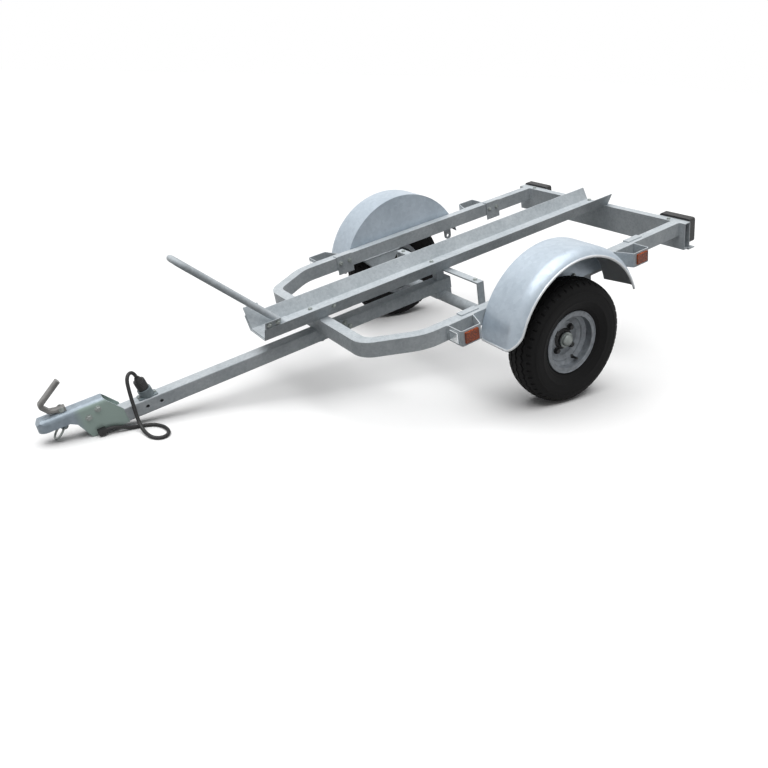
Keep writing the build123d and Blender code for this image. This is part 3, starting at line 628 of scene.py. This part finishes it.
class TrailerStudio(bpy.types.PropertyGroup):
    """Camera and light of the studio."""

    lens: FloatProperty(
        name="Lens", description="Focal length on a 36 mm sensor", default=35.86, unit="CAMERA"
    )
    camera_place: FloatVectorProperty(
        name="Camera",
        description="Where the camera stands",
        default=(1.525, 2.367, 1.187),
        subtype="TRANSLATION",
    )
    camera_forward: FloatVectorProperty(
        name="View",
        description="Direction that the camera looks in",
        default=(-0.5346, -0.76159, -0.36632),
        subtype="DIRECTION",
    )
    camera_up: FloatVectorProperty(
        name="Up",
        description="Direction of the picture's top",
        default=(-0.17857, -0.32187, 0.92979),
        subtype="DIRECTION",
    )
    shift: FloatVectorProperty(
        name="Shift",
        description="Shift of the lens as a share of the picture",
        default=(-0.0258, -0.0419),
        size=2,
    )
    floor_seen: StringProperty(
        name="Floor", description="Colour of the floor as it is seen", default="ffffff"
    )
    floor_bounce: StringProperty(
        name="Bounce", description="Colour of the light off the floor", default="5a5a5a"
    )
    sky: FloatProperty(name="Sky", description="Strength of the even light", default=0.2, min=0.0)
    key: FloatProperty(name="Key", description="Strength of the light from above", default=3.0, min=0.0)
    key_softness: FloatProperty(
        name="Softness",
        description="Width of the light from above",
        default=math.radians(70),
        subtype="ANGLE",
        unit="ROTATION",
    )
    key_aim: FloatVectorProperty(
        name="Key aim",
        description="Direction of the light from above",
        default=(-0.14, -0.02, -1.0),
        subtype="DIRECTION",
    )


# Operators


class TRAILER_OT_finishes(bpy.types.Operator):
    """Give every solid of the trailer its finish"""

    bl_idname = "trailer.finishes"
    bl_label = "Finishes"

    def execute(self, context):
        make_finishes()
        for finish, names in NODE_FINISH.items():
            for name in names:
                slots = NODES[name].data.materials
                slots.clear()
                slots.append(FINISH[finish])
        return {"FINISHED"}


class TRAILER_OT_tyres(bpy.types.Operator):
    """Mould the two tyres, with a grooved tread, notched shoulders and ringed sidewalls"""

    bl_idname = "trailer.tyres"
    bl_label = "Tyres"

    # Half section in millimetres: distance from the middle plane, then radius
    bead_foot = (37.7, 103.3)
    bead_top = (37.7, 121.0)
    flank = (64.0, 169.25)
    shoulder = (55.0, 219.5)
    grooves = (-26.0, 0.0, 26.0)
    groove_half = 3.5
    # How far a groove's wall leans in, how far its line sways, and where a shoulder notch lies
    lean = 1.0
    zigzag = 3.5
    notch_from, notch_to = 0.6, 12.0
    # Share of the way up the sidewall, and how proud the moulded rings stand there
    sidewall = (
        (0.0, 0.0), (0.06, 0.0), (0.12, 0.0), (0.13, 1.0), (0.16, 1.0), (0.17, 0.0), (0.28, 0.0),
        (0.4, 0.0), (0.41, 0.6), (0.43, 0.6), (0.44, 0.0), (0.56, 0.0), (0.68, 0.0), (0.74, 0.0),
        (0.75, 1.2), (0.79, 1.2), (0.8, 0.0), (0.88, 0.0), (0.94, 0.0),
    )
    # Share of one pitch, and how deep the shoulder's notch is there as a share of the tread
    pitch = ((0.0, 0.0), (0.04, 0.0), (0.08, 0.8), (0.26, 0.8), (0.3, 0.0), (0.5, 0.0), (0.75, 0.0))

    def crown(self, y):
        """Radius of the tread's smooth crown at a distance from the middle plane."""
        drop = WHEEL_RADIUS - self.shoulder[1]
        bend = (self.shoulder[0] ** 2 + drop**2) / (2 * drop)
        return WHEEL_RADIUS - bend + math.sqrt(bend**2 - y**2)

    def section(self, sway, notch, depth):
        """Whole section as (distance, radius) points, from one bead over the tread to the other."""
        shares = [share for share, _ in self.sidewall]
        wall = arc_through(self.bead_top, self.flank, self.shoulder, shares)
        wall = [(y + proud, radius) for (y, radius), (_, proud) in zip(wall, self.sidewall)]
        out, top = self.shoulder
        near, far = out - self.notch_to, out - self.notch_to - self.lean
        edge = [(out - self.notch_from, top - notch * depth)]
        edge += [(near, self.crown(near) - notch * depth), (far, self.crown(far))]
        tread = []
        for middle in self.grooves:
            low, high = middle - self.groove_half + sway, middle + self.groove_half + sway
            tread += [(low, self.crown(low)), (low + self.lean, self.crown(low) - depth)]
            tread += [(high - self.lean, self.crown(high) - depth), (high, self.crown(high))]
        right = [self.bead_foot] + wall + edge
        return [(-y, radius) for y, radius in right] + tread + list(reversed(right))

    def execute(self, context):
        sizes = context.scene.trailer_sizes
        depth = sizes.tread_depth / MM
        for name, side in SIDES.items():
            mesh = bmesh.new()
            matrix = wheel_matrix(side)
            rings = []
            for turn in range(sizes.tread_pitches):
                for share, notch in self.pitch:
                    spin = Matrix.Rotation(2 * math.pi * (turn + share) / sizes.tread_pitches, 4, "Z")
                    sway = self.zigzag * (4 * abs(share - 0.5) - 1)
                    points = self.section(sway, notch, depth)
                    spots = [matrix @ spin @ Vector((r * MM, 0, y * MM)) for y, r in points]
                    rings.append([mesh.verts.new(spot) for spot in spots])
            skin_rings(mesh, rings, closed_along=True)
            tyre = finish_piece(f"road_tyre_{name}", mesh, ["tyre"], f"wheel_{name}")
            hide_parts(f"tyre_{name}")
        return {"FINISHED"}


class TRAILER_OT_wheels(bpy.types.Operator):
    """Fit the wheel bolts, the rolled rim edges, the pressed disc ring, the valves and a near-black ring of
    painted shade round the cap
    """

    bl_idname = "trailer.wheels"
    bl_label = "Wheel details"

    # Distances outboard of the wheel's middle plane and radii, in millimetres
    disc_face = -5.0
    bolt_circle = 50.0
    bolt_angles = (45, 135, 225, 315)
    rolled_edge = (116.4, 40.5, 2.6)
    disc_ring = (84.0, 4.0, 2.6)
    # A wheel bolt's width and height against the usual bolt
    bolt_width, bolt_height = 1.1, 1.6
    # Near-black ring of painted shade round the cap, where the deep dish and hub throw their shadow: radius of its
    # bore, flat and edge, then its foot and crest outboard
    shade_ring = (29.6, 32.6, 41.0, -5.2, 2.0)
    valve_radius = 88.0
    valve_angle = 200.0
    # Radius and height of the valve's steps
    valve_steps = ((7.5, -1), (7.5, 3), (5, 6), (4.2, 20), (4.8, 20.5), (4.8, 29), (3.8, 30.5))

    def execute(self, context):
        sizes = context.scene.trailer_sizes
        for name, side in SIDES.items():
            matrix = wheel_matrix(side)
            body = f"wheel_{name}"
            rings = bmesh.new()
            for radius, along, thick in (self.rolled_edge, self.disc_ring):
                section = round_section(radius * MM, along * MM, thick * MM)
                turned_ring(rings, matrix, section, steps=96)
            finish_piece(f"rim_edges_{name}", rings, ["rim"], body)

            bolts = bmesh.new()
            # A near-black ring round the cap: painted shade of the deep dish, made in the bolts' finish
            bore, flat, edge, foot, crest = (size * MM for size in self.shade_ring)
            plate = [(bore, foot), (bore, crest), (flat, crest), (edge, foot)]
            turned_ring(bolts, matrix, plate, steps=64)
            for angle in self.bolt_angles:
                spin = Matrix.Rotation(math.radians(angle), 4, "Z")
                seat = Matrix.Translation((self.bolt_circle * MM, 0, self.disc_face * MM))
                across, head = self.bolt_width * sizes.bolt_across, self.bolt_height * sizes.bolt_head
                hex_bolt(bolts, matrix @ spin @ seat, across, head, sizes.washer)
            finish_piece(f"wheel_bolts_and_shade_ring_{name}", bolts, ["hub"], body)

            valve = bmesh.new()
            spin = Matrix.Rotation(math.radians(self.valve_angle), 4, "Z")
            seat = Matrix.Translation((self.valve_radius * MM, 0, self.disc_ring[1] * MM))
            levels = [(radius * MM, height * MM) for radius, height in self.valve_steps]
            stacked(valve, matrix @ spin @ seat, levels, sides=20)
            finish_piece(f"tyre_valve_{name}", valve, ["black"], body)
        return {"FINISHED"}


class TRAILER_OT_guards(bpy.types.Operator):
    """Roll the bead along each mudguard's lip and round its front corner"""

    bl_idname = "trailer.guards"
    bl_label = "Mudguard beads"

    # The mudguard's own sizes, in chassis millimetres
    crown_radius = 316.0
    lip_radius = 287.0
    inner, outer = 463.5, 640.0
    shoulder = 58.0
    crown_edge = 589.77
    half_sheet = 1.5
    front_angle, lip_rear_angle = 9.5, 17.0
    toe_round, toe_inner_round = 62.0, 28.0
    # Straight pieces in the bead's lip and in each rounded corner
    lip_steps, corner_steps = 96, 14

    def sheet_radius(self, y):
        """Radius of the sheet's middle at a distance from the trailer's middle."""
        past = max(0.0, y - self.crown_edge)
        return self.crown_radius - self.shoulder + math.sqrt(self.shoulder**2 - past**2) - self.half_sheet

    def edge_points(self):
        """Places along the lip from the rear end over the arch, and round the front end's two corners."""
        x0, _, z0 = ARCH_MIDDLE
        front = math.radians(self.front_angle)
        foot = z0 + self.lip_radius * math.sin(front)
        crown_end = z0 + self.crown_radius * math.sin(front)
        lip_start = math.pi - math.radians(self.lip_rear_angle)
        lip_end = math.asin((foot + self.toe_round - z0) / self.lip_radius)
        spots = []
        for i in range(self.lip_steps):
            turn = lip_start + (lip_end - lip_start) * i / self.lip_steps
            x, z = x0 + self.lip_radius * math.cos(turn), z0 + self.lip_radius * math.sin(turn)
            spots.append((x, self.outer - self.half_sheet, z))
        turns = [math.pi / 2 * i / self.corner_steps for i in range(self.corner_steps + 1)]
        outline = [(self.outer - self.half_sheet, -1, self.toe_round, turn) for turn in turns]
        outline += [(self.inner, 1, self.toe_inner_round, turn) for turn in reversed(turns)]
        for edge, inward, corner, turn in outline:
            y = edge + inward * corner * (1 - math.cos(turn))
            z = max(foot + corner * (1 - math.sin(turn)), crown_end)
            spots.append((x0 + math.sqrt(self.sheet_radius(y) ** 2 - (z - z0) ** 2), y, z))
        return spots

    def execute(self, context):
        bead = context.scene.trailer_sizes.lip_bead
        spots = self.edge_points()
        for name, side in SIDES.items():
            mesh = bmesh.new()
            points = [place(x, side * y, z) for x, y, z in spots]
            swept_tube(mesh, points, [bead] * len(points), sides=10)
            # The bead's pale finish is a painted highlight along the lip
            finish_piece(f"mudguard_bead_{name}", mesh, ["edge"], "chassis", SOFT)
        return {"FINISHED"}


class TRAILER_OT_fasteners(bpy.types.Operator):
    """Fit the bolts of the rail, drawbar, clamps, mudguards, lamps and coupling"""

    bl_idname = "trailer.fasteners"
    bl_label = "Fasteners"

    # The rail's side wall: how far it flares, and its height
    flare, wall = 25.5, 51.0
    wall_lean = math.atan2(flare, wall)
    paired = (
        # group, place on the left, outward share to the left, upward share, size against the usual bolt
        ("hoop_bolts", (878, 90.9, 491), math.cos(wall_lean), -math.sin(wall_lean), 0.8),
        ("hoop_bolts", (911, 90.9, 491), math.cos(wall_lean), -math.sin(wall_lean), 0.8),
        ("drawbar_bolts", (596, DRAWBAR_HALF, 356), 1, 0, 0.9),
        ("drawbar_bolts", (576, DRAWBAR_HALF, 336), 1, 0, 0.9),
        ("clamp_bolts", (301, TUBE_INNER - 4, 398), -1, 0, 0.8),
        ("clamp_bolts", (345, TUBE_INNER - 4, 398), -1, 0, 0.8),
        ("clamp_bolts", (-490, TUBE_INNER - 4, 398), -1, 0, 0.8),
        ("clamp_bolts", (-534, TUBE_INNER - 4, 398), -1, 0, 0.8),
        ("mudguard_bolts", (-150, 466.5, 405), 1, 0, 0.8),
        ("mudguard_bolts", (0, 466.5, 405), 1, 0, 0.8),
        ("mudguard_bolts", (150, 466.5, 405), 1, 0, 0.8),
        ("axle_bolts", (75, TUBE_OUTER, 356), 1, 0, 0.8),
        ("axle_bolts", (191, TUBE_OUTER, 356), 1, 0, 0.8),
        ("coupling_bolts", (1510, 29.3, 407), 1, 0, 0.9),
        ("coupling_bolts", (1544, 29.3, 390), 1, 0, 0.9),
        ("rail_bolts", (654, 81.7, 466), math.cos(wall_lean), -math.sin(wall_lean), 0.75),
        ("rail_bolts", (695, 38, RAIL_FLOOR), 0, 1, 0.75),
        ("rail_bolts", (133, 38, RAIL_FLOOR), 0, 1, 0.75),
        ("rail_bolts", (-768, 38, RAIL_FLOOR), 0, 1, 0.75),
        ("bridge_bolts", (133, 240, TUBE_TOP), 0, 1, 0.7),
        ("carrier_bolts", (-768, 400, TUBE_TOP), 0, 1, 0.7),
    )
    single = (
        # group, place, outward share to the left, upward share, size against the usual bolt
        ("holder_screws", (1322, 0, 374), 0, 1, 0.45),
        ("holder_screws", (1376, 0, 374), 0, 1, 0.45),
        ("drawbar_nut", (690, 0, 320), 0, -1, 1.1),
    )

    def execute(self, context):
        sizes = context.scene.trailer_sizes
        rows = list(self.single)
        for group, (x, y, z), outward, upward, size in self.paired:
            rows.append((group, (x, y, z), outward, upward, size))
            rows.append((group, (x, -y, z), -outward, upward, size))
        meshes = {}
        for group, spot, outward, upward, size in rows:
            if group not in meshes:
                meshes[group] = bmesh.new()
            matrix = facing(spot, LEFT * outward + UP * upward)
            across, head = size * sizes.bolt_across, size * sizes.bolt_head
            hex_bolt(meshes[group], matrix, across, head, size * sizes.washer)
        for group, mesh in meshes.items():
            finish_piece(group, mesh, ["plated"], "chassis")
        return {"FINISHED"}


class TRAILER_OT_welds(bpy.types.Operator):
    """Lay the weld seams of the frame, the brackets, the lugs and the bridge"""

    bl_idname = "trailer.welds"
    bl_label = "Welds"

    paired = (
        # group, then the seam's corners on the left
        ("frame_welds", (675, DRAWBAR_HALF, 370), (715, DRAWBAR_HALF, 370)),
        ("frame_welds", (-755, TUBE_INNER, 372), (-755, TUBE_INNER, 426)),
        ("frame_welds", (-755, TUBE_OUTER, 372), (-755, TUBE_OUTER, 426)),
        ("bracket_welds", (436, TUBE_OUTER, 371), (436, TUBE_OUTER, 425)),
        ("bracket_welds", (323, TUBE_OUTER, 371), (323, TUBE_OUTER, 425)),
        ("bracket_welds", (-484, TUBE_OUTER, 371), (-484, TUBE_OUTER, 425)),
        ("bracket_welds", (-371, TUBE_OUTER, 371), (-371, TUBE_OUTER, 425)),
        ("axle_welds", (38, TUBE_INNER, TUBE_BOTTOM), (228, TUBE_INNER, TUBE_BOTTOM)),
        ("axle_welds", (38, TUBE_OUTER, TUBE_BOTTOM), (228, TUBE_OUTER, TUBE_BOTTOM)),
        ("lug_welds", (-264, 445.5, TUBE_BOTTOM), (-230, 445.5, TUBE_BOTTOM)),
        ("lug_welds", (-264, 437.5, TUBE_BOTTOM), (-230, 437.5, TUBE_BOTTOM)),
        ("bridge_welds", (118, 271, 312), (118, 271, 296)),
        ("bridge_welds", (148, 271, 312), (148, 271, 296)),
        ("post_welds", (115, 18, TUBE_BOTTOM), (151, 18, TUBE_BOTTOM)),
    )

    def execute(self, context):
        sizes = context.scene.trailer_sizes
        meshes = {}
        for group, *corners in self.paired:
            if group not in meshes:
                meshes[group] = bmesh.new()
            for side in SIDES.values():
                spots = [(x, side * y, z) for x, y, z in corners]
                weld_seam(meshes[group], spots, sizes.weld_size, sizes.weld_ripple)
        for group, mesh in meshes.items():
            finish_piece(group, mesh, ["galvanised"], "chassis", SOFT)
        return {"FINISHED"}


class TRAILER_OT_lamps(bpy.types.Operator):
    """Set the fluted lenses in the rear lamps, amber outside and red inside"""

    bl_idname = "trailer.lamps"
    bl_label = "Rear lenses"

    # Lens sizes in chassis millimetres
    seat, back = -813.0, -823.0
    low, high = 339.5, 428.5
    inner_edge, outer_edge = 344.5, 481.5
    amber_from = 431.0
    edge = 3.0
    flute_depth = 1.6
    # Corners closer than this are one corner
    weld_gap = 0.05

    def zone(self, mesh, side, near, far, flute, finish):
        """Add one fluted block of lens between two distances from the trailer's middle."""
        count = max(8, round(8 * (far - near) / flute))
        rings = []
        for i in range(count + 1):
            y = near + (far - near) * i / count
            wave = self.flute_depth * abs(math.sin(math.pi * (y - near) / flute))
            back = self.seat if i in (0, count) else self.back
            sunk = 0.0 if i in (0, count) else wave
            loop = [
                (self.seat, self.low),
                (back + self.edge * (back != self.seat), self.low),
                (back + sunk, self.low + self.edge),
                (back + sunk, self.high - self.edge),
                (back + self.edge * (back != self.seat), self.high),
                (self.seat, self.high),
            ]
            rings.append([mesh.verts.new(place(x, side * y, z)) for x, z in loop])
        before = len(mesh.faces)
        skin_rings(mesh, rings)
        mesh.faces.ensure_lookup_table()
        for face in mesh.faces[before:]:
            face.material_index = finish

    def execute(self, context):
        flute = context.scene.trailer_sizes.lens_flute / MM
        mesh = bmesh.new()
        for side in SIDES.values():
            self.zone(mesh, side, self.inner_edge, self.amber_from, flute, 0)
            self.zone(mesh, side, self.amber_from, self.outer_edge, flute, 1)
        bmesh.ops.remove_doubles(mesh, verts=mesh.verts, dist=self.weld_gap * MM)
        bmesh.ops.dissolve_degenerate(mesh, edges=mesh.edges, dist=self.weld_gap * MM)
        lenses = finish_piece("fluted_lenses", mesh, ["red", "turn"], "chassis")
        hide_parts("rear_lenses")
        return {"FINISHED"}


class TRAILER_OT_coupling(bpy.types.Operator):
    """Add the lever's hinge pin and the small link above the safety ring"""

    bl_idname = "trailer.coupling"
    bl_label = "Coupling details"

    # The pin's width and height against the usual bolt
    pin_width, pin_height = 0.7, 0.5
    hinge = (1608, 13, 442)
    link = (1616, 0, 379)
    link_radius, link_bar = 9.0, 2.2

    def execute(self, context):
        sizes = context.scene.trailer_sizes
        pins = bmesh.new()
        for side in SIDES.values():
            x, y, z = self.hinge
            matrix = facing((x, side * y, z), LEFT * side)
            across, head = self.pin_width * sizes.bolt_across, self.pin_height * sizes.bolt_head
            hex_bolt(pins, matrix, across, head, sizes.washer)
        finish_piece("lever_hinge", pins, ["plated"], "chassis")
        link = bmesh.new()
        section = round_section(self.link_radius * MM, 0, self.link_bar * MM)
        turned_ring(link, facing(self.link, LEFT), section, steps=40)
        finish_piece("safety_link", link, ["plated"], "chassis", SOFT)
        return {"FINISHED"}


class TRAILER_OT_lead(bpy.types.Operator):
    """Lay the electric lead from its gland to the plug, and rib the plug's grip"""

    bl_idname = "trailer.lead"
    bl_label = "Electric lead"

    route = [
        # x, y, z in millimetres of the parked trailer
        (1044.7, 38.0, 19.6),
        (1027.1, 38.0, 23.3),
        (1002.0, 38.2, 18.5),
        (977.0, 38.8, 9.5),
        (950.0, 39.6, 6.2),
        (920.0, 42.0, 6.2),
        (894.0, 52.0, 6.2),
        (876.0, 75.0, 6.2),
        (869.0, 104.0, 6.2),
        (873.0, 132.0, 6.2),
        (890.0, 151.0, 6.2),
        (912.0, 152.0, 6.2),
        (930.0, 136.0, 6.2),
        (938.0, 107.0, 7.5),
        (942.0, 80.0, 13.0),
        (945.0, 58.0, 26.0),
        (948.0, 44.0, 48.0),
        (952.0, 38.5, 76.0),
        (957.0, 35.5, 106.0),
        (961.0, 30.5, 138.0),
        (963.3, 24.0, 169.9),
        (953.1, 12.0, 186.8),
        (933.9, 0.0, 182.5),
        (925.4, 0.0, 162.7),
    ]
    plug_foot = (1349, 0, 378)
    plug_lean = math.radians(11.4)
    plug_radius = 18.0
    ribs_from, ribs_to, rib_count = 27.0, 54.0, 6
    rib_radius, rib_sunk = 1.6, 0.3

    def execute(self, context):
        sizes = context.scene.trailer_sizes
        grip = bmesh.new()
        axis = AHEAD * math.sin(self.plug_lean) + UP * math.cos(self.plug_lean)
        for i in range(self.rib_count):
            along = self.ribs_from + (self.ribs_to - self.ribs_from) * i / (self.rib_count - 1)
            middle = (self.plug_radius - self.rib_sunk) * MM
            section = round_section(middle, along * MM, self.rib_radius * MM)
            turned_ring(grip, facing(self.plug_foot, axis), section, steps=48)
        ribs = finish_piece("plug_grip", grip, ["black"], "chassis", SOFT)

        curve = bpy.data.curves.new("electric_lead", "CURVE")
        curve.dimensions = "3D"
        curve.resolution_u = 12
        curve.bevel_depth = sizes.lead_diameter / 2
        curve.bevel_resolution = 5
        curve.use_fill_caps = True
        spline = curve.splines.new("NURBS")
        spline.points.add(len(self.route) - 1)
        for point, (x, y, z) in zip(spline.points, self.route):
            point.co = (x * MM, y * MM, z * MM, 1)
        spline.order_u = 3
        spline.use_endpoint_u = True
        lead = bpy.data.objects.new("electric_lead", curve)
        context.scene.collection.objects.link(lead)
        curve.materials.append(FINISH["sheath"])
        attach(lead, "chassis")
        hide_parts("lead")
        return {"FINISHED"}


class TRAILER_OT_studio(bpy.types.Operator):
    """Set up the floor, light and camera"""

    bl_idname = "trailer.studio"
    bl_label = "Studio"

    floor_half = 30.0
    sensor_mm = 36.0
    far_clip = 100.0

    def seen(self, tree):
        """One where a camera, glossy or transmission ray arrives, else nought."""
        path = add_node(tree, "LightPath")
        direct = add_node(
            tree,
            "Math",
            {0: path.outputs["Is Camera Ray"], 1: path.outputs["Is Glossy Ray"]},
            operation="MAXIMUM",
        )
        return add_node(
            tree,
            "Math",
            {0: direct.outputs[0], 1: path.outputs["Is Transmission Ray"]},
            operation="MAXIMUM",
        ).outputs[0]

    def execute(self, context):
        scene = context.scene
        studio = scene.trailer_studio
        scene.view_settings.view_transform = "Standard"

        floor_mesh = bmesh.new()
        bmesh.ops.create_grid(floor_mesh, x_segments=1, y_segments=1, size=self.floor_half)
        floor_data = bpy.data.meshes.new("studio_floor")
        floor_mesh.to_mesh(floor_data)
        floor_mesh.free()
        floor = bpy.data.objects.new("studio_floor", floor_data)
        scene.collection.objects.link(floor)
        # Uncoated paper: no shine, so it shows only the trailer's shadow
        paper, tree, shader = start_material("matt_paper", Roughness=0.9, Specular_IOR_Level=0.0)
        colour = add_node(
            tree,
            "Mix",
            {"Factor": self.seen(tree), 6: linear(studio.floor_bounce), 7: linear(studio.floor_seen)},
            data_type="RGBA",
        )
        tree.links.new(colour.outputs[2], shader.inputs["Base Color"])
        floor_data.materials.append(paper)

        world = bpy.data.worlds.new("studio_sky")
        world.use_nodes = True
        scene.world = world
        tree = world.node_tree
        sky = tree.nodes["Background"]
        sky.inputs["Color"].default_value = linear("ffffff")
        strength = add_node(
            tree, "MapRange", {"Value": self.seen(tree), "To Min": studio.sky, "To Max": 1.0}
        )
        tree.links.new(strength.outputs["Result"], sky.inputs["Strength"])

        key = bpy.data.lights.new("overhead_key", "SUN")
        key.energy = studio.key
        key.angle = studio.key_softness
        lamp = bpy.data.objects.new("overhead_key", key)
        lamp.rotation_euler = Vector(studio.key_aim).to_track_quat("-Z", "Y").to_euler()
        scene.collection.objects.link(lamp)

        lens = bpy.data.cameras.new("photo_camera")
        lens.lens = studio.lens
        lens.sensor_width = self.sensor_mm
        lens.shift_x, lens.shift_y = studio.shift
        lens.clip_end = self.far_clip
        camera = bpy.data.objects.new("photo_camera", lens)
        back = -Vector(studio.camera_forward).normalized()
        right = Vector(studio.camera_up).cross(back).normalized()
        top = back.cross(right)
        turn = Matrix((right, top, back)).transposed().to_4x4()
        camera.matrix_world = Matrix.Translation(studio.camera_place) @ turn
        scene.collection.objects.link(camera)
        scene.camera = camera
        return {"FINISHED"}


OPERATORS = (
    TRAILER_OT_finishes,
    TRAILER_OT_tyres,
    TRAILER_OT_wheels,
    TRAILER_OT_guards,
    TRAILER_OT_fasteners,
    TRAILER_OT_welds,
    TRAILER_OT_lamps,
    TRAILER_OT_coupling,
    TRAILER_OT_lead,
    TRAILER_OT_studio,
)
SETTINGS = (TrailerFinishes, TrailerSizes, TrailerStudio)


class TRAILER_PT_panel(bpy.types.Panel):
    """Lists the trailer's pieces and settings"""

    bl_idname = "TRAILER_PT_panel"
    bl_label = "Motorcycle trailer"
    bl_space_type = "VIEW_3D"
    bl_region_type = "UI"
    bl_category = "Trailer"

    def draw(self, context):
        layout = self.layout
        scene = context.scene
        for operator in OPERATORS:
            layout.operator(operator.bl_idname)
        for settings in (scene.trailer_finishes, scene.trailer_sizes, scene.trailer_studio):
            box = layout.box()
            for name in settings.__annotations__:
                box.prop(settings, name)


def register():
    """Register the settings, operators and panel."""
    for group in (*SETTINGS, *OPERATORS, TRAILER_PT_panel):
        bpy.utils.register_class(group)
    bpy.types.Scene.trailer_finishes = PointerProperty(type=TrailerFinishes)
    bpy.types.Scene.trailer_sizes = PointerProperty(type=TrailerSizes)
    bpy.types.Scene.trailer_studio = PointerProperty(type=TrailerStudio)


def unregister():
    """Remove the settings, operators and panel."""
    del bpy.types.Scene.trailer_studio
    del bpy.types.Scene.trailer_sizes
    del bpy.types.Scene.trailer_finishes
    for group in reversed((*SETTINGS, *OPERATORS, TRAILER_PT_panel)):
        bpy.utils.unregister_class(group)


def main():
    """Dress the trailer piece by piece."""
    register()
    bpy.ops.trailer.finishes()
    bpy.ops.trailer.tyres()
    bpy.ops.trailer.wheels()
    bpy.ops.trailer.guards()
    bpy.ops.trailer.fasteners()
    bpy.ops.trailer.welds()
    bpy.ops.trailer.lamps()
    bpy.ops.trailer.coupling()
    bpy.ops.trailer.lead()
    bpy.ops.trailer.studio()
    bpy.context.view_layer.update()


if __name__ == "__main__":
    main()
